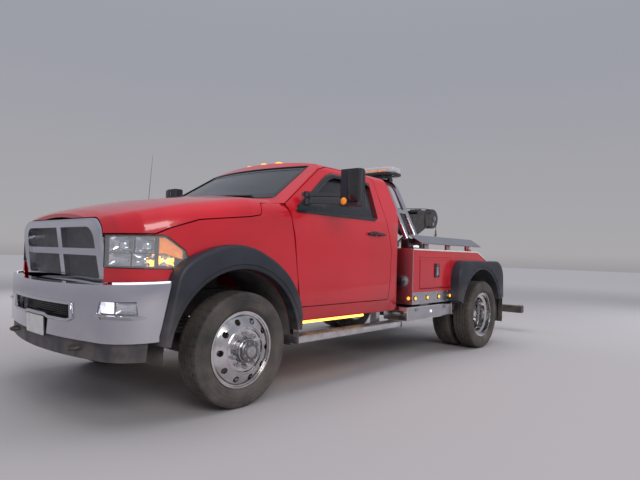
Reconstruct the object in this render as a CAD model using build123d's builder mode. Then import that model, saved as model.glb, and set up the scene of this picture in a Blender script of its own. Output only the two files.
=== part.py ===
from build123d import *
import os
from math import atan2, cos, degrees, hypot, radians, sin

# Light tow truck with a short cab, a twin tube arch, an extending boom and a wheel lift.
# Millimetres. X forward, Y to the driver's (left) side, Z up.
# The origin is on the ground under the middle of the truck.

os.makedirs("parts", exist_ok=True)

# Chassis sizes
wheelbase = 3670
front_overhang = 980
rear_reach = 1860
front_track = 1905
rear_dual_track = 1928
dual_spacing = 275
rail_height = 200
rail_top = 785
rail_outer_half = 465
rail_width = 70
axle_tube_radius = 55
kingpin_half = 838
steer_stop = 35

# Tyre and wheel sizes
tyre_diameter = 809
tyre_width = 226
rim_width = 178
flange_radius = 268
bead_radius = 248
well_radius = 214
bead_gap = 0.3
rim_wall = 8
wheel_offset = 112
disc_thickness = 12
hand_holes = 10
hand_hole_radius = 22
hand_hole_circle = 205
seat_radius = 146
bore_face_radius = 88
hub_reach = 59

# Cab sizes
cab_back = 2130
cab_half = 1000
cab_wall = 55
cab_corner = 150
roof_height = 1957
rocker_height = 540
belt_height = 1420
firewall_set = 420
windshield_base = 300
windshield_height = belt_height + 110
windshield_slope = 31
windshield_bow = 2160
shut_gap = 7
glass_thickness = 6
hood_skin = 26
fender_skin = 22
arch_centre = 30
arch_radius = 565

# Tow body sizes
body_front = 2200
body_back = wheelbase + 665
body_half = 1085
body_top = 1175
body_inner_half = 620
body_wall = 25
red_bottom = 720
channel_bottom = 595
deck_thickness = 75
tread_plate = 6
tread_start = 3215
rear_arch_radius = 565
chain_eye_set = body_back + 19
chain_eye_z = 618
chain_eye_y = 500
chain_eye_plate = 20
chain_eye_bore = 17
flare_half = 1205

# Boom sizes
boom_pivot_set = 2700
boom_pivot_height = 1490
boom_rise = 5
boom_length = 1500
boom_height = 190
boom_width = 190
boom_wall = 12
boom_gap = 6
boom_tail = 100
boom_inner_tail = 450
head_reach = 270
sheave_radius = 140
pin_gap = 0.3
boom_pin = 28
mast_plate = 20
mast_gap = 7
ram_base_set = 3020
ram_base_height = 960
ram_lug_along = 1150
ram_lug_drop = 175
ram_barrel = 46
ram_rod = 24
ram_barrel_length = 610
ram_rod_inset = 150
ram_pin = 20

# Wheel lift sizes
lift_pivot_set = body_back + 25
lift_pivot_height = 590
lift_axis_height = 340
lift_size = 130
lift_wall = 10
lift_gap = 5.5
lift_tube_front = body_back + 115
lift_tube_back = body_back + 795
lift_inner_front = body_back + 225
lift_pin = 22
cheek_plate = 20
horn_ahead = 15
horn_rise = 160
tilt_base_set = body_back - 535
tilt_base_height = 690
tilt_barrel = 34
tilt_rod = 18
tilt_barrel_length = 340
crossbar_half = 1060
crossbar_size = 105
swivel_pin = 20
claw_thickness = 45
claw_height = 80
claw_length = 400
claw_hinge_y = 1000
claw_pin = 14

# Places worked out from the sizes
front_axle_x = (wheelbase + rear_reach - front_overhang) / 2
rear_axle_x = front_axle_x - wheelbase
wheel_z = tyre_diameter / 2
front_wheel_y = front_track / 2
rear_outer_y = (rear_dual_track + dual_spacing) / 2
rear_inner_y = (rear_dual_track - dual_spacing) / 2
rail_bottom = rail_top - rail_height
rail_inner_half = rail_outer_half - rail_width
deck_top = rail_top + deck_thickness


def back(distance):
    """X of a place that lies this far behind the front axle."""
    return front_axle_x - distance


def slab(outline, y_from, y_to, mode=Mode.ADD):
    """A closed (distance behind the front axle, height) outline, taken across from y_from to y_to."""
    with BuildSketch(Plane.XZ.offset(-y_from)) as face:
        with BuildLine():
            Polyline(*[(back(d), z) for d, z in outline], close=True)
        make_face()
    extrude(face.sketch, amount=y_to - y_from, dir=(0, 1, 0), mode=mode)


def column(outline, z_from, z_to, mode=Mode.ADD):
    """A closed (distance behind the front axle, y) outline, raised from z_from to z_to."""
    with BuildSketch(Plane.XY.offset(z_from)) as face:
        with BuildLine():
            Polyline(*[(back(d), y) for d, y in outline], close=True)
        make_face()
    extrude(face.sketch, amount=z_to - z_from, dir=(0, 0, 1), mode=mode)


def beam(outline, d_from, d_to, mode=Mode.ADD):
    """A closed (y, z) outline, taken backwards from d_from to d_to behind the front axle."""
    with BuildSketch(Plane.YZ.offset(back(d_from))) as face:
        with BuildLine():
            Polyline(*outline, close=True)
        make_face()
    extrude(face.sketch, amount=d_to - d_from, dir=(-1, 0, 0), mode=mode)


def block(d_from, d_to, y_from, y_to, z_from, z_to, mode=Mode.ADD):
    """A rectangular bar between two stations, two widths and two heights."""
    column([(d_from, y_from), (d_to, y_from), (d_to, y_to), (d_from, y_to)], z_from, z_to, mode)


def across(d, z, radius, y_from, y_to, mode=Mode.ADD):
    """A round bar or bore that lies across the truck."""
    with BuildSketch(Plane.XZ.offset(-y_from)) as face:
        with Locations((back(d), z)):
            Circle(radius)
    extrude(face.sketch, amount=y_to - y_from, dir=(0, 1, 0), mode=mode)


def turned(outline, y_axis_plane, mode=Mode.ADD):
    """A closed (y, radius) outline, turned about a wheel's axis."""
    with BuildSketch(y_axis_plane) as face:
        with BuildLine():
            Polyline(*outline, close=True)
        make_face()
    revolve(face.sketch, axis=Axis(y_axis_plane.origin, y_axis_plane.x_dir), mode=mode)


# Wheels

def wheel_plane(d):
    """Profile plane of a wheel: first coordinate along Y, second upwards from the wheel's axis."""
    return Plane(origin=(back(d), 0, wheel_z), x_dir=(0, 1, 0), z_dir=(1, 0, 0))


def tyre_section(centre):
    """(y, radius) outline of a tyre about the middle of its tread."""
    half = tyre_width / 2
    outer = tyre_diameter / 2
    bead_half = rim_width / 2 - 12
    side = [
        (bead_half, bead_radius + bead_gap),
        (bead_half, flange_radius + 3),
        (half - 14, flange_radius + 14),
        (half, flange_radius + 52),
        (half - 2, outer - 45),
        (half - 16, outer - 10),
        (half - 34, outer),
    ]
    return [(centre + y, r) for y, r in side] + [(centre - y, r) for y, r in reversed(side)]


def barrel_section(centre):
    """(y, radius) outline of the rolled rim: flange, bead seat, drop well and wall."""
    half = rim_width / 2
    outer = [
        (half, flange_radius),
        (half - 10, flange_radius),
        (half - 11, bead_radius),
        (half - 42, bead_radius - 2),
        (half - 56, well_radius),
    ]
    outer += [(-y, r) for y, r in reversed(outer)]
    inner = [(y, r - rim_wall) for y, r in reversed(outer)]
    inner = [(-half, flange_radius - 12)] + inner[1:-1] + [(half, flange_radius - 12)]
    return [(centre + y, r) for y, r in outer + inner]


def disc_section(centre, out):
    """(y, radius) outline of the crowned disc; out is 1 or -1, the way the disc is proud."""
    edge = rim_width / 2
    bore = bore_face_radius - 4
    skin = [
        (edge - 9, bead_radius - 4),
        (edge - 1, bead_radius - 12),
        (wheel_offset - 8, hand_hole_circle),
        (wheel_offset + 7, seat_radius + 19),
        (wheel_offset + 12, seat_radius + 13),
        (wheel_offset + 12, seat_radius + 7),
        (wheel_offset, seat_radius),
        (wheel_offset, bore),
    ]
    rear = [
        (wheel_offset - disc_thickness, bore),
        (wheel_offset - disc_thickness, seat_radius + 6),
        (wheel_offset - 5, seat_radius + 17),
        (wheel_offset - 20, hand_hole_circle),
        (edge - 13, bead_radius - 15),
        (edge - 23, bead_radius - 5),
    ]
    return [(centre + out * y, r) for y, r in skin + rear]


def mounting_ring(centre, out):
    """(y, radius) outline of the thick seat between a twin wheel's disc and its neighbour."""
    near, far = wheel_offset - disc_thickness, dual_spacing / 2
    low, high = bore_face_radius - 4, seat_radius - 6
    return [(centre + out * y, r) for y, r in ((near, low), (far, low), (far, high), (near, high))]


def hub_section(face_y, out, reach):
    """(y, radius) outline of the hub and its dome on a mounting face."""
    outline = [
        (-disc_thickness - 30, 40),
        (-disc_thickness - 30, bore_face_radius + 8),
        (-disc_thickness, bore_face_radius + 8),
        (-disc_thickness, bore_face_radius - 4),
        (reach * 0.62, bore_face_radius - 8),
        (reach * 0.86, bore_face_radius - 26),
        (reach, bore_face_radius - 52),
        (reach, 0),
        (-disc_thickness - 10, 0),
        (-disc_thickness - 10, 40),
    ]
    return [(face_y + out * y, r) for y, r in outline]


def hand_hole_cut(d, y_from, y_to):
    """The ring of hand holes through a wheel's disc."""
    with BuildSketch(Plane.XZ.offset(-y_from)) as holes:
        with Locations((back(d), wheel_z)):
            with PolarLocations(hand_hole_circle, hand_holes):
                Circle(hand_hole_radius)
    extrude(holes.sketch, amount=y_to - y_from, dir=(0, 1, 0), mode=Mode.SUBTRACT)


with BuildPart() as tyre_front_left:
    turned(tyre_section(front_wheel_y), wheel_plane(0))

with BuildPart() as rim_front_left:
    turned(barrel_section(front_wheel_y), wheel_plane(0))
    turned(disc_section(front_wheel_y, 1), wheel_plane(0))
    hand_hole_cut(0, front_wheel_y + 50, front_wheel_y + wheel_offset + 5)
    turned(hub_section(front_wheel_y + wheel_offset, 1, hub_reach), wheel_plane(0))

with BuildPart() as tyres_rear_left:
    for centre in (rear_inner_y, rear_outer_y):
        turned(tyre_section(centre), wheel_plane(wheelbase))

mount_y = (rear_inner_y + rear_outer_y) / 2
with BuildPart() as rims_rear_left:
    for centre, out in ((rear_outer_y, -1), (rear_inner_y, 1)):
        turned(barrel_section(centre), wheel_plane(wheelbase))
        turned(disc_section(centre, out), wheel_plane(wheelbase))
        turned(mounting_ring(centre, out), wheel_plane(wheelbase))
    hand_hole_cut(wheelbase, mount_y - 5, rear_outer_y - 50)
    hand_hole_cut(wheelbase, rear_inner_y + 50, mount_y + 5)
    turned(hub_section(rear_inner_y + wheel_offset, 1, dual_spacing - wheel_offset), wheel_plane(wheelbase))

wheel_parts = {
    "tyre_front_left": tyre_front_left,
    "rim_front_left": rim_front_left,
    "tyres_rear_left": tyres_rear_left,
    "rims_rear_left": rims_rear_left,
}
for name, left in wheel_parts.items():
    with BuildPart() as right:
        mirror(left.part, about=Plane.XZ)
    left.part.label = name
    right.part.label = name.replace("left", "right")
    export_step(left.part, f"parts/{left.part.label}.step")
    export_step(right.part, f"parts/{right.part.label}.step")

# Steering knuckles and axles

eye_half = 60
eye_radius = 38
thrust_gap = 0.3
front_hub_back = front_wheel_y + wheel_offset - disc_thickness - 30

with BuildPart() as knuckle_left:
    for sign in (1, -1):
        z_near = wheel_z + sign * (eye_half + thrust_gap)
        z_far = wheel_z + sign * (eye_half + 32)
        block(-42, 42, kingpin_half - 38, kingpin_half + 80, min(z_near, z_far), max(z_near, z_far))
    block(-42, 42, kingpin_half + 48, kingpin_half + 80, wheel_z - eye_half - 32, wheel_z + eye_half + 32)
    across(0, wheel_z, 52, kingpin_half + 70, front_hub_back - thrust_gap)
    block(30, 190, kingpin_half - 20, kingpin_half + 20, wheel_z - eye_half - 32, wheel_z - eye_half - 10)
    block(30, 60, kingpin_half - 20, kingpin_half + 60, wheel_z - eye_half - 32, wheel_z - eye_half - 10)
knuckle_left.part.label = "knuckle_left"
export_step(knuckle_left.part, "parts/knuckle_left.step")
with BuildPart() as knuckle_right:
    mirror(knuckle_left.part, about=Plane.XZ)
knuckle_right.part.label = "knuckle_right"
export_step(knuckle_right.part, "parts/knuckle_right.step")

arm_half = rail_outer_half - rail_width / 2
with BuildPart() as front_axle:
    across(0, wheel_z, axle_tube_radius, -kingpin_half, kingpin_half)
    for sign in (1, -1):
        with BuildSketch(Plane.XY.offset(wheel_z - eye_half)) as eye:
            with Locations((front_axle_x, sign * kingpin_half)):
                Circle(eye_radius)
        extrude(eye.sketch, amount=2 * eye_half, dir=(0, 0, 1))
        slab([(-40, wheel_z), (40, wheel_z - 40), (700, rail_bottom - 60), (760, rail_bottom - 60),
              (760, rail_bottom), (660, rail_bottom), (60, wheel_z + 40), (-40, wheel_z + 60)],
             sign * arm_half - 22, sign * arm_half + 22)
    across(0, wheel_z, 125, 120, 330)

coil_turns = 4
spring_seat = wheel_z + axle_tube_radius + 4
with BuildPart() as front_springs:
    pitch = (rail_bottom - spring_seat) / coil_turns
    for sign in (1, -1):
        rings = [(0, spring_seat), (44, spring_seat)]
        for turn in range(coil_turns):
            foot = spring_seat + turn * pitch
            rings += [(62, foot + pitch * 0.25), (62, foot + pitch * 0.5), (48, foot + pitch * 0.75)]
        rings += [(48, rail_bottom), (0, rail_bottom)]
        with BuildSketch(Plane(origin=(back(-95), sign * arm_half, 0), x_dir=(1, 0, 0), z_dir=(0, -1, 0))) as coil:
            with BuildLine():
                Polyline(*rings, close=True)
            make_face()
        revolve(coil.sketch, axis=Axis((back(-95), sign * arm_half, 0), (0, 0, 1)))

rear_hub_back = rear_inner_y + wheel_offset - disc_thickness - 30
with BuildPart() as rear_axle:
    across(wheelbase, wheel_z, axle_tube_radius + 10, -rear_hub_back + thrust_gap, rear_hub_back - thrust_gap)
    with BuildSketch(Plane(origin=(rear_axle_x, 0, wheel_z), x_dir=(0, 1, 0), z_dir=(1, 0, 0))) as bowl:
        with BuildLine():
            Polyline((-170, 0), (-150, 70), (-70, 165), (70, 165), (150, 70), (170, 0), close=True)
        make_face()
    revolve(bowl.sketch, axis=Axis((rear_axle_x, 0, wheel_z), (0, 1, 0)))
with BuildPart() as axles:
    add(front_axle.part)
    add(rear_axle.part)
axles.part.label = "axles"
export_step(axles.part, "parts/axles.step")

leaf_thickness = 14
leaf_top = wheel_z + axle_tube_radius + 10 + 5 * leaf_thickness
with BuildPart() as rear_springs:
    for sign in (1, -1):
        y_from = sign * arm_half - 37
        for leaf in range(5):
            reach = 240 + leaf * 80
            low = leaf_top - (5 - leaf) * leaf_thickness
            block(wheelbase - reach, wheelbase + reach, y_from, y_from + 74, low, low + leaf_thickness)
        for end in (-1, 1):
            d = wheelbase + end * 525
            block(d - 35, d + 35, y_from + 7, y_from + 67, leaf_top, rail_bottom)
with BuildPart() as springs:
    add(front_springs.part)
    add(rear_springs.part)
springs.part.label = "springs"
export_step(springs.part, "parts/springs.step")

# Frame and power unit

bumper_back = -front_overhang + 76
frame_end = body_back - 95
# Start, length, height above the rails' bottom and depth of each cross member
member_table = [
    (-670, 80, 45, 48),
    (150, 120, 12, 48),
    (1200, 90, 12, 48),
    (2250, 90, 140, 48),
    (3050, 90, 140, 48),
    (4040, 90, 12, 22),
]
engine_bottom = rail_bottom + 60
exhaust_z = rail_bottom - 80
exhaust_y = -rail_inner_half + 62
with BuildPart() as power_unit:
    block(-560, 330, -290, 290, engine_bottom, engine_bottom + 520)
    block(330, 1290, -170, 170, engine_bottom, engine_bottom + 240)
    shaft_front = Vector(back(1290), 0, engine_bottom + 90)
    shaft_rear = Vector(rear_axle_x + 165, 0, wheel_z + 30)
    run = shaft_rear - shaft_front
    with BuildSketch(Plane(origin=shaft_front - run.normalized() * 20, z_dir=run)) as tube:
        Circle(48)
    extrude(tube.sketch, amount=run.length, dir=run.normalized())
    with BuildLine() as pipe_run:
        FilletPolyline((back(316), exhaust_y + 108, engine_bottom + 60), (back(316), exhaust_y, exhaust_z),
                       (back(2900), exhaust_y, exhaust_z), (back(3060), -600, exhaust_z),
                       (back(3060), -770, exhaust_z), radius=70)
    with BuildSketch(Plane(origin=pipe_run.line @ 0, z_dir=pipe_run.line % 0)) as pipe:
        Circle(36)
    sweep(pipe.sketch, path=pipe_run.line)
    with BuildSketch(Plane(origin=(back(1300), exhaust_y, exhaust_z), z_dir=(-1, 0, 0))) as can:
        Circle(72)
    extrude(can.sketch, amount=650, dir=(-1, 0, 0))
power_unit.part.label = "power_unit"
export_step(power_unit.part, "parts/power_unit.step")

with BuildPart() as fuel_tank:
    block(2260, 3030, rail_outer_half, 760, rail_bottom - 140, rail_bottom + 130)
    fillet(fuel_tank.edges().filter_by(Axis.X), 40)
fuel_tank.part.label = "fuel_tank"
export_step(fuel_tank.part, "parts/fuel_tank.step")

# Cab

cab_lower_half = cab_half - 40
cab_floor = rail_top + 45
cab_underside = rail_top + 10
seat_gap = 0.3
core_bar_low = 1040
sill_inner = cab_half - 200
tunnel_half = 185
tunnel_top = cab_floor + 70


def cab_section(inset, floor, roof):
    """Closed half-width and height outline of the cab, inset from the outer skin all round."""
    half = cab_half - inset
    low_half = cab_lower_half - inset
    shoulder = roof_height - roof - 62
    with BuildSketch(Plane.YZ.offset(back(cab_back + 100))) as section:
        with BuildLine():
            Polyline((-low_half, floor), (low_half, floor))
            for sign in (1, -1):
                Polyline((sign * low_half, floor), (sign * half, 690), (sign * half, 1130))
                ThreePointArc((sign * half, 1130), (sign * (half - 4), belt_height - 120),
                              (sign * (half - 18), belt_height))
                Line((sign * (half - 18), belt_height), (sign * (half - 190), shoulder - 60))
                ThreePointArc((sign * (half - 190), shoulder - 60), (sign * (half - 222), shoulder - 16),
                              (sign * (half - 290), shoulder + 14))
            ThreePointArc((half - 290, shoulder + 14), (0, roof_height - roof), (290 - half, shoulder + 14))
        make_face()
    return section.sketch


def windshield_cutter(setback, half, top):
    """A slanted, bowed block that lies in front of the windshield's surface."""
    slope = radians(windshield_slope)
    rise = top - windshield_height
    base = windshield_base + setback
    sag = windshield_bow - (windshield_bow ** 2 - half ** 2) ** 0.5
    with BuildSketch(Plane.XY.offset(windshield_height - 60)) as plan:
        with BuildLine():
            shift = 60 / (sin(slope) / cos(slope))
            near = base - shift
            ThreePointArc((back(near + sag), half), (back(near), 0), (back(near + sag), -half))
            Polyline((back(near + sag), -half), (back(near - 900), -half), (back(near - 900), half),
                     (back(near + sag), half))
        make_face()
    run = (rise + 60) / sin(slope)
    return extrude(plan.sketch, amount=run, dir=(-cos(slope), 0, sin(slope)), mode=Mode.PRIVATE)


def cab_body(inset, floor, roof, front, rear, setback):
    """The cab's volume: section along the truck, cut by the side profile and the bowed windshield."""
    with BuildPart() as body:
        extrude(cab_section(inset, floor, roof), amount=cab_back + 200, dir=(1, 0, 0))
        with BuildSketch(Plane.XZ.offset(-1200)) as side:
            with BuildLine():
                Polyline(
                    (back(front), floor - 10),
                    (back(front), belt_height - 40),
                    (back(front - 150), belt_height + 60),
                    (back(front - 150), 2050),
                    (back(rear - 150), 2050),
                    (back(rear - 40), roof_height - 130),
                    (back(rear), belt_height),
                    (back(rear), floor + 110),
                    (back(rear - 90), floor - 10),
                    close=True,
                )
            make_face()
        extrude(side.sketch, amount=2400, dir=(0, -1, 0), mode=Mode.INTERSECT)
        half = cab_half - inset
        radius = cab_corner - inset
        bow = radius * (1 - sin(radians(45)))
        for sign in (1, -1):
            with BuildSketch(Plane.XY.offset(floor - 20)) as corner:
                with BuildLine():
                    ThreePointArc((back(rear), sign * (half - radius)), (back(rear - bow), sign * (half - bow)),
                                  (back(rear - radius), sign * half))
                    Polyline((back(rear - radius), sign * half), (back(rear - radius), sign * (half + 40)),
                             (back(rear + 60), sign * (half + 40)), (back(rear + 60), sign * (half - radius)),
                             (back(rear), sign * (half - radius)))
                make_face()
            extrude(corner.sketch, amount=roof_height, dir=(0, 0, 1), mode=Mode.SUBTRACT)
        add(windshield_cutter(setback, 1150, 2100), mode=Mode.SUBTRACT)
    return body.part


# Outlines on the cab's side, as distance behind the front axle and height
door_front = [
    (618, 662),
    (612, 740),
    (580, 938),
    (543, 1224),
    (498, belt_height - 8),
    (462, belt_height + 60),
]
door_outline = door_front + [
    (1010, roof_height - 115),
    (1130, roof_height - 77),
    (1700, roof_height - 73),
    (1835, roof_height - 107),
    (1850, belt_height - 20),
    (1915, 1130),
    (1902, 860),
    (1875, 662),
]
window_outline = [
    (560, belt_height + 12),
    (1060, roof_height - 182),
    (1160, roof_height - 142),
    (1640, roof_height - 135),
    (1735, roof_height - 162),
    (1700, belt_height + 20),
]


def grown(outline, amount):
    """An outline grown (or shrunk) by an amount, as a face on the XZ plane."""
    with BuildSketch(Plane.XZ) as face:
        with BuildLine():
            Polyline(*[(back(d), z) for d, z in outline], close=True)
        make_face()
        offset(amount=amount, kind=Kind.INTERSECTION)
    return face.sketch


def side_prism(outline, amount, y_from, y_to):
    """The grown outline as a prism from y_from to y_to."""
    face = grown(outline, amount).moved(Location((0, y_from, 0)))
    return extrude(face, amount=y_to - y_from, dir=(0, 1, 0), mode=Mode.PRIVATE)


cab_outer = cab_body(0, rocker_height, 0, firewall_set, cab_back, 0)
cab_inner = cab_body(cab_wall, cab_floor, 45, firewall_set + 40, cab_back - cab_wall, 70)
door_inner = cab_body(cab_wall, rocker_height + 60, 45, firewall_set + 40, cab_back - cab_wall, 70)
door_inner_y = 560

# Outline of the windshield opening as y and height, seen from the front
screen_low_half = cab_half - 185
screen_top_half = cab_half - 310
screen_outline = [(-screen_low_half, windshield_height), (screen_low_half, windshield_height),
                  (screen_top_half, roof_height - 77), (-screen_top_half, roof_height - 77)]
rear_low_half = cab_half - 300
rear_top_half = cab_half - 360
rear_screen_outline = [(-rear_low_half, belt_height + 40), (rear_low_half, belt_height + 40),
                       (rear_top_half, roof_height - 167), (-rear_top_half, roof_height - 167)]

# Front sheet metal: sections from the door to the nose, as distance behind the axle,
# half-width, crown height
grille_low = 850
grille_high = 1292
nose_middle = (belt_height + grille_high) / 2
nose_sections = [
    (618, cab_half, belt_height + 150),
    (100, cab_half - 2, belt_height + 125),
    (-380, cab_half - 8, nose_middle + 107),
    (-560, cab_half - 28, grille_high + 129),
    (-700, cab_half - 88, grille_high + 92),
    (-800, cab_half - 200, grille_high + 62),
    (-864, cab_half - 350, grille_high + 33),
]


def nose_body(inset):
    """The front sheet metal's volume, inset from its skin."""
    with BuildPart() as body:
        for d, half, crown in nose_sections:
            w = half - inset
            top = crown - inset
            with BuildSketch(Plane.YZ.offset(back(d))):
                with BuildLine():
                    Polyline((-w + 30, 480), (w - 30, 480))
                    for sign in (1, -1):
                        Polyline((sign * (w - 30), 480), (sign * w, 900), (sign * (w - 12), top - 215))
                        ThreePointArc((sign * (w - 12), top - 215), (sign * (w - 45), top - 110),
                                      (sign * (w - 150), top - 50))
                    ThreePointArc((w - 150, top - 50), (0, top), (150 - w, top - 50))
                make_face()
        loft(ruled=True)
    return body.part


nose_outer = nose_body(0)
nose_inner = nose_body(fender_skin)
fender_zone_outline = [(200, 480), (622, 590)] + [(d + 4, z) for d, z in door_front[1:]] + [(200, belt_height + 66)]
with BuildPart() as fender_zone_left:
    slab(fender_zone_outline, 800, 1100)
    add(nose_inner, mode=Mode.SUBTRACT)
    mirror(about=Plane.XZ)
fender_zone = fender_zone_left.part

floor_half = cab_lower_half - cab_wall - shut_gap - 12
below_floor = Pos(0, 0, cab_floor / 2) * Box(2 * wheelbase, 2 * floor_half, cab_floor)

with BuildPart() as cab_shell:
    add(cab_outer)
    add(cab_inner, mode=Mode.SUBTRACT)
    block(firewall_set + 20, 1340, -tunnel_half - 30, tunnel_half + 30, cab_floor - 20, tunnel_top + 30)
    block(firewall_set - 20, cab_back + 20, -sill_inner, sill_inner, rocker_height - 20, cab_underside, Mode.SUBTRACT)
    block(firewall_set - 20, 1310, -tunnel_half, tunnel_half, rocker_height, tunnel_top, Mode.SUBTRACT)
    add(fender_zone, mode=Mode.SUBTRACT)
    across(-arch_centre, wheel_z, arch_radius, -1100, 1100, Mode.SUBTRACT)
    beam(screen_outline, 230, 1150, Mode.SUBTRACT)
    beam(rear_screen_outline, cab_back - 160, cab_back + 20, Mode.SUBTRACT)
    for sign in (1, -1):
        opening = side_prism(door_outline, shut_gap, door_inner_y, 1200)
        opening -= below_floor
        add(opening if sign > 0 else mirror(opening, about=Plane.XZ, mode=Mode.PRIVATE), mode=Mode.SUBTRACT)
cab_shell.part.label = "cab_shell"
export_step(cab_shell.part, "parts/cab_shell.step")

with BuildPart() as door_left:
    add(cab_outer)
    add(door_inner, mode=Mode.SUBTRACT)
    add(side_prism(door_outline, 0, door_inner_y, 1200), mode=Mode.INTERSECT)
    add(side_prism(window_outline, 0, door_inner_y, 1200), mode=Mode.SUBTRACT)
door_left.part.label = "door_left"
export_step(door_left.part, "parts/door_left.step")
with BuildPart() as door_right:
    mirror(door_left.part, about=Plane.XZ)
door_right.part.label = "door_right"
export_step(door_right.part, "parts/door_right.step")

# Glass

glass_set = 20
with BuildPart() as door_glass_left:
    add(cab_body(glass_set, rocker_height, 0, firewall_set, cab_back, 0))
    add(cab_body(glass_set + glass_thickness, rocker_height - 20, glass_thickness, firewall_set - 20,
                 cab_back + 20, 0), mode=Mode.SUBTRACT)
    add(side_prism(window_outline, 0, door_inner_y, 1200), mode=Mode.INTERSECT)
door_glass_left.part.label = "door_glass_left"
export_step(door_glass_left.part, "parts/door_glass_left.step")
with BuildPart() as door_glass_right:
    mirror(door_glass_left.part, about=Plane.XZ)
door_glass_right.part.label = "door_glass_right"
export_step(door_glass_right.part, "parts/door_glass_right.step")

with BuildPart() as windshield:
    beam(screen_outline, 230, 1150)
    add(windshield_cutter(14, 1150, 2100), mode=Mode.SUBTRACT)
    add(windshield_cutter(28, 1150, 2100), mode=Mode.INTERSECT)

with BuildPart() as rear_window:
    beam(rear_screen_outline, cab_back - 200, cab_back + 20)
    with BuildSketch(Plane.XZ.offset(-1000)) as pane:
        with BuildLine():
            Polyline((back(cab_back - 20), belt_height), (back(cab_back - 60), roof_height - 130),
                     (back(cab_back - 54), roof_height - 130), (back(cab_back - 14), belt_height), close=True)
        make_face()
    extrude(pane.sketch, amount=2000, dir=(0, -1, 0), mode=Mode.INTERSECT)
with BuildPart() as cab_glass:
    add(windshield.part)
    add(rear_window.part)
cab_glass.part.label = "cab_glass"
export_step(cab_glass.part, "parts/cab_glass.step")

# Cab furniture

inner_half = cab_half - cab_wall
with BuildPart() as dashboard:
    slab([(firewall_set + 40.3, 1130), (firewall_set + 40.3, 1385), (560, 1430), (700, 1410), (760, 1300),
          (720, 1180), (640, 1120)], -inner_half + 40, inner_half - 40)
dashboard.part.label = "dashboard"
export_step(dashboard.part, "parts/dashboard.step")

seat_half = cab_half - 220
with BuildPart() as bench_seat:
    slab([(1250, cab_floor), (1220, 1060), (1260, 1110), (1700, 1075), (1760, cab_floor)], -seat_half, seat_half)
    slab([(1660, 1075), (1800, 1640), (1860, 1680), (1930, 1670), (1940, 1580), (1760, 1000), (1690, 1000)],
         -seat_half, seat_half)
    block(1200, 1330, -tunnel_half - 32, tunnel_half + 32, cab_floor - 1, tunnel_top + 30.3, Mode.SUBTRACT)
    block(1330, 1342, -tunnel_half - 32, tunnel_half + 32, cab_floor - 1, tunnel_top + 30.3, Mode.SUBTRACT)
bench_seat.part.label = "bench_seat"
export_step(bench_seat.part, "parts/bench_seat.step")

wheel_centre = Vector(back(960), 420, 1330)
column_dir = Vector(-0.86, 0, 0.5).normalized()
with BuildPart() as steering_wheel:
    with BuildSketch(Plane(origin=wheel_centre, x_dir=(0, 1, 0), z_dir=column_dir)) as disc:
        Circle(190)
        Circle(164, mode=Mode.SUBTRACT)
        Rectangle(340, 34)
        Circle(52)
    extrude(disc.sketch, amount=26, dir=column_dir)
    with BuildSketch(Plane(origin=wheel_centre, z_dir=-column_dir)) as shaft:
        Circle(26)
    extrude(shaft.sketch, amount=300, dir=-column_dir)
    add(dashboard.part, mode=Mode.SUBTRACT)
steering_wheel.part.label = "steering_wheel"
export_step(steering_wheel.part, "parts/steering_wheel.step")

# Grille opening and bumper band, which the sheet metal around them follows

grille_lean = 0.145
grille_set = 757
grille_half_top = cab_half - 345
grille_half_low = cab_half - 308
grille_corner_top = 150
grille_corner_low = 70
grille_gap = 6
grille_plane = Plane(origin=(back(-grille_set), 0, grille_low), x_dir=(0, 1, 0), z_dir=(1, 0, -grille_lean))
grille_height = grille_high - grille_low
grille_out = grille_plane.z_dir


def grille_face(inset, side=0):
    """The grille's outline, inset from the outside of its frame, with more inset at the sides."""
    top = grille_half_top - inset - side
    low = grille_half_low - inset - side
    with BuildSketch(grille_plane) as face:
        with BuildLine():
            Polyline((-low, inset), (low, inset), (top, grille_height - inset), (-top, grille_height - inset),
                     close=True)
        make_face()
        fillet(face.vertices().group_by(Axis.Y)[-1], grille_corner_top - inset)
        fillet(face.vertices().group_by(Axis.Y)[0], grille_corner_low - inset)
    return face.sketch


grille_room = extrude(grille_face(-grille_gap), amount=300, both=True, mode=Mode.PRIVATE)

# Plan points of the bumper's side from front to rear, each with its outward direction
bumper_side = [
    (-905, cab_half - 300, -0.98, 0.2),
    (-812, cab_half - 85, -0.73, 0.68),
    (-600, cab_half + 28, -0.22, 0.98),
]
bumper_end = (-545, cab_half + 35)
bumper_top_line = [(-400, 890), (-560, 884), (-850, 870), (-1100, 838)]


def bumper_band(inset, rear):
    """Plan outline of the wrap round bumper, inset from its outer face and open at the rear."""
    side = [Vector(back(d + inset * -out_d), y - inset * out_y) for d, y, out_d, out_y in bumper_side]
    end_y = bumper_end[1] - inset
    with BuildSketch(Plane.XY.offset(300)) as face:
        with BuildLine():
            ThreePointArc(side[0], (back(-front_overhang + inset), 0), (side[0].X, -side[0].Y))
            for sign in (1, -1):
                points = [(p.X, sign * p.Y) for p in side]
                ThreePointArc(*points)
                Polyline(points[-1], (back(bumper_end[0]), sign * end_y), (back(rear), sign * end_y))
            Line((back(rear), end_y), (back(rear), -end_y))
        make_face()
    return face.sketch


# Hood and front fenders

hood_shut = [
    (210, belt_height + 42),
    (180, belt_height - 48),
    (90, belt_height - 68),
    (-350, nose_middle - 56),
    (-560, grille_high - 60),
    (-640, grille_high - 102),
    (-960, grille_high - 112),
]
hood_rear = 340

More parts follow.
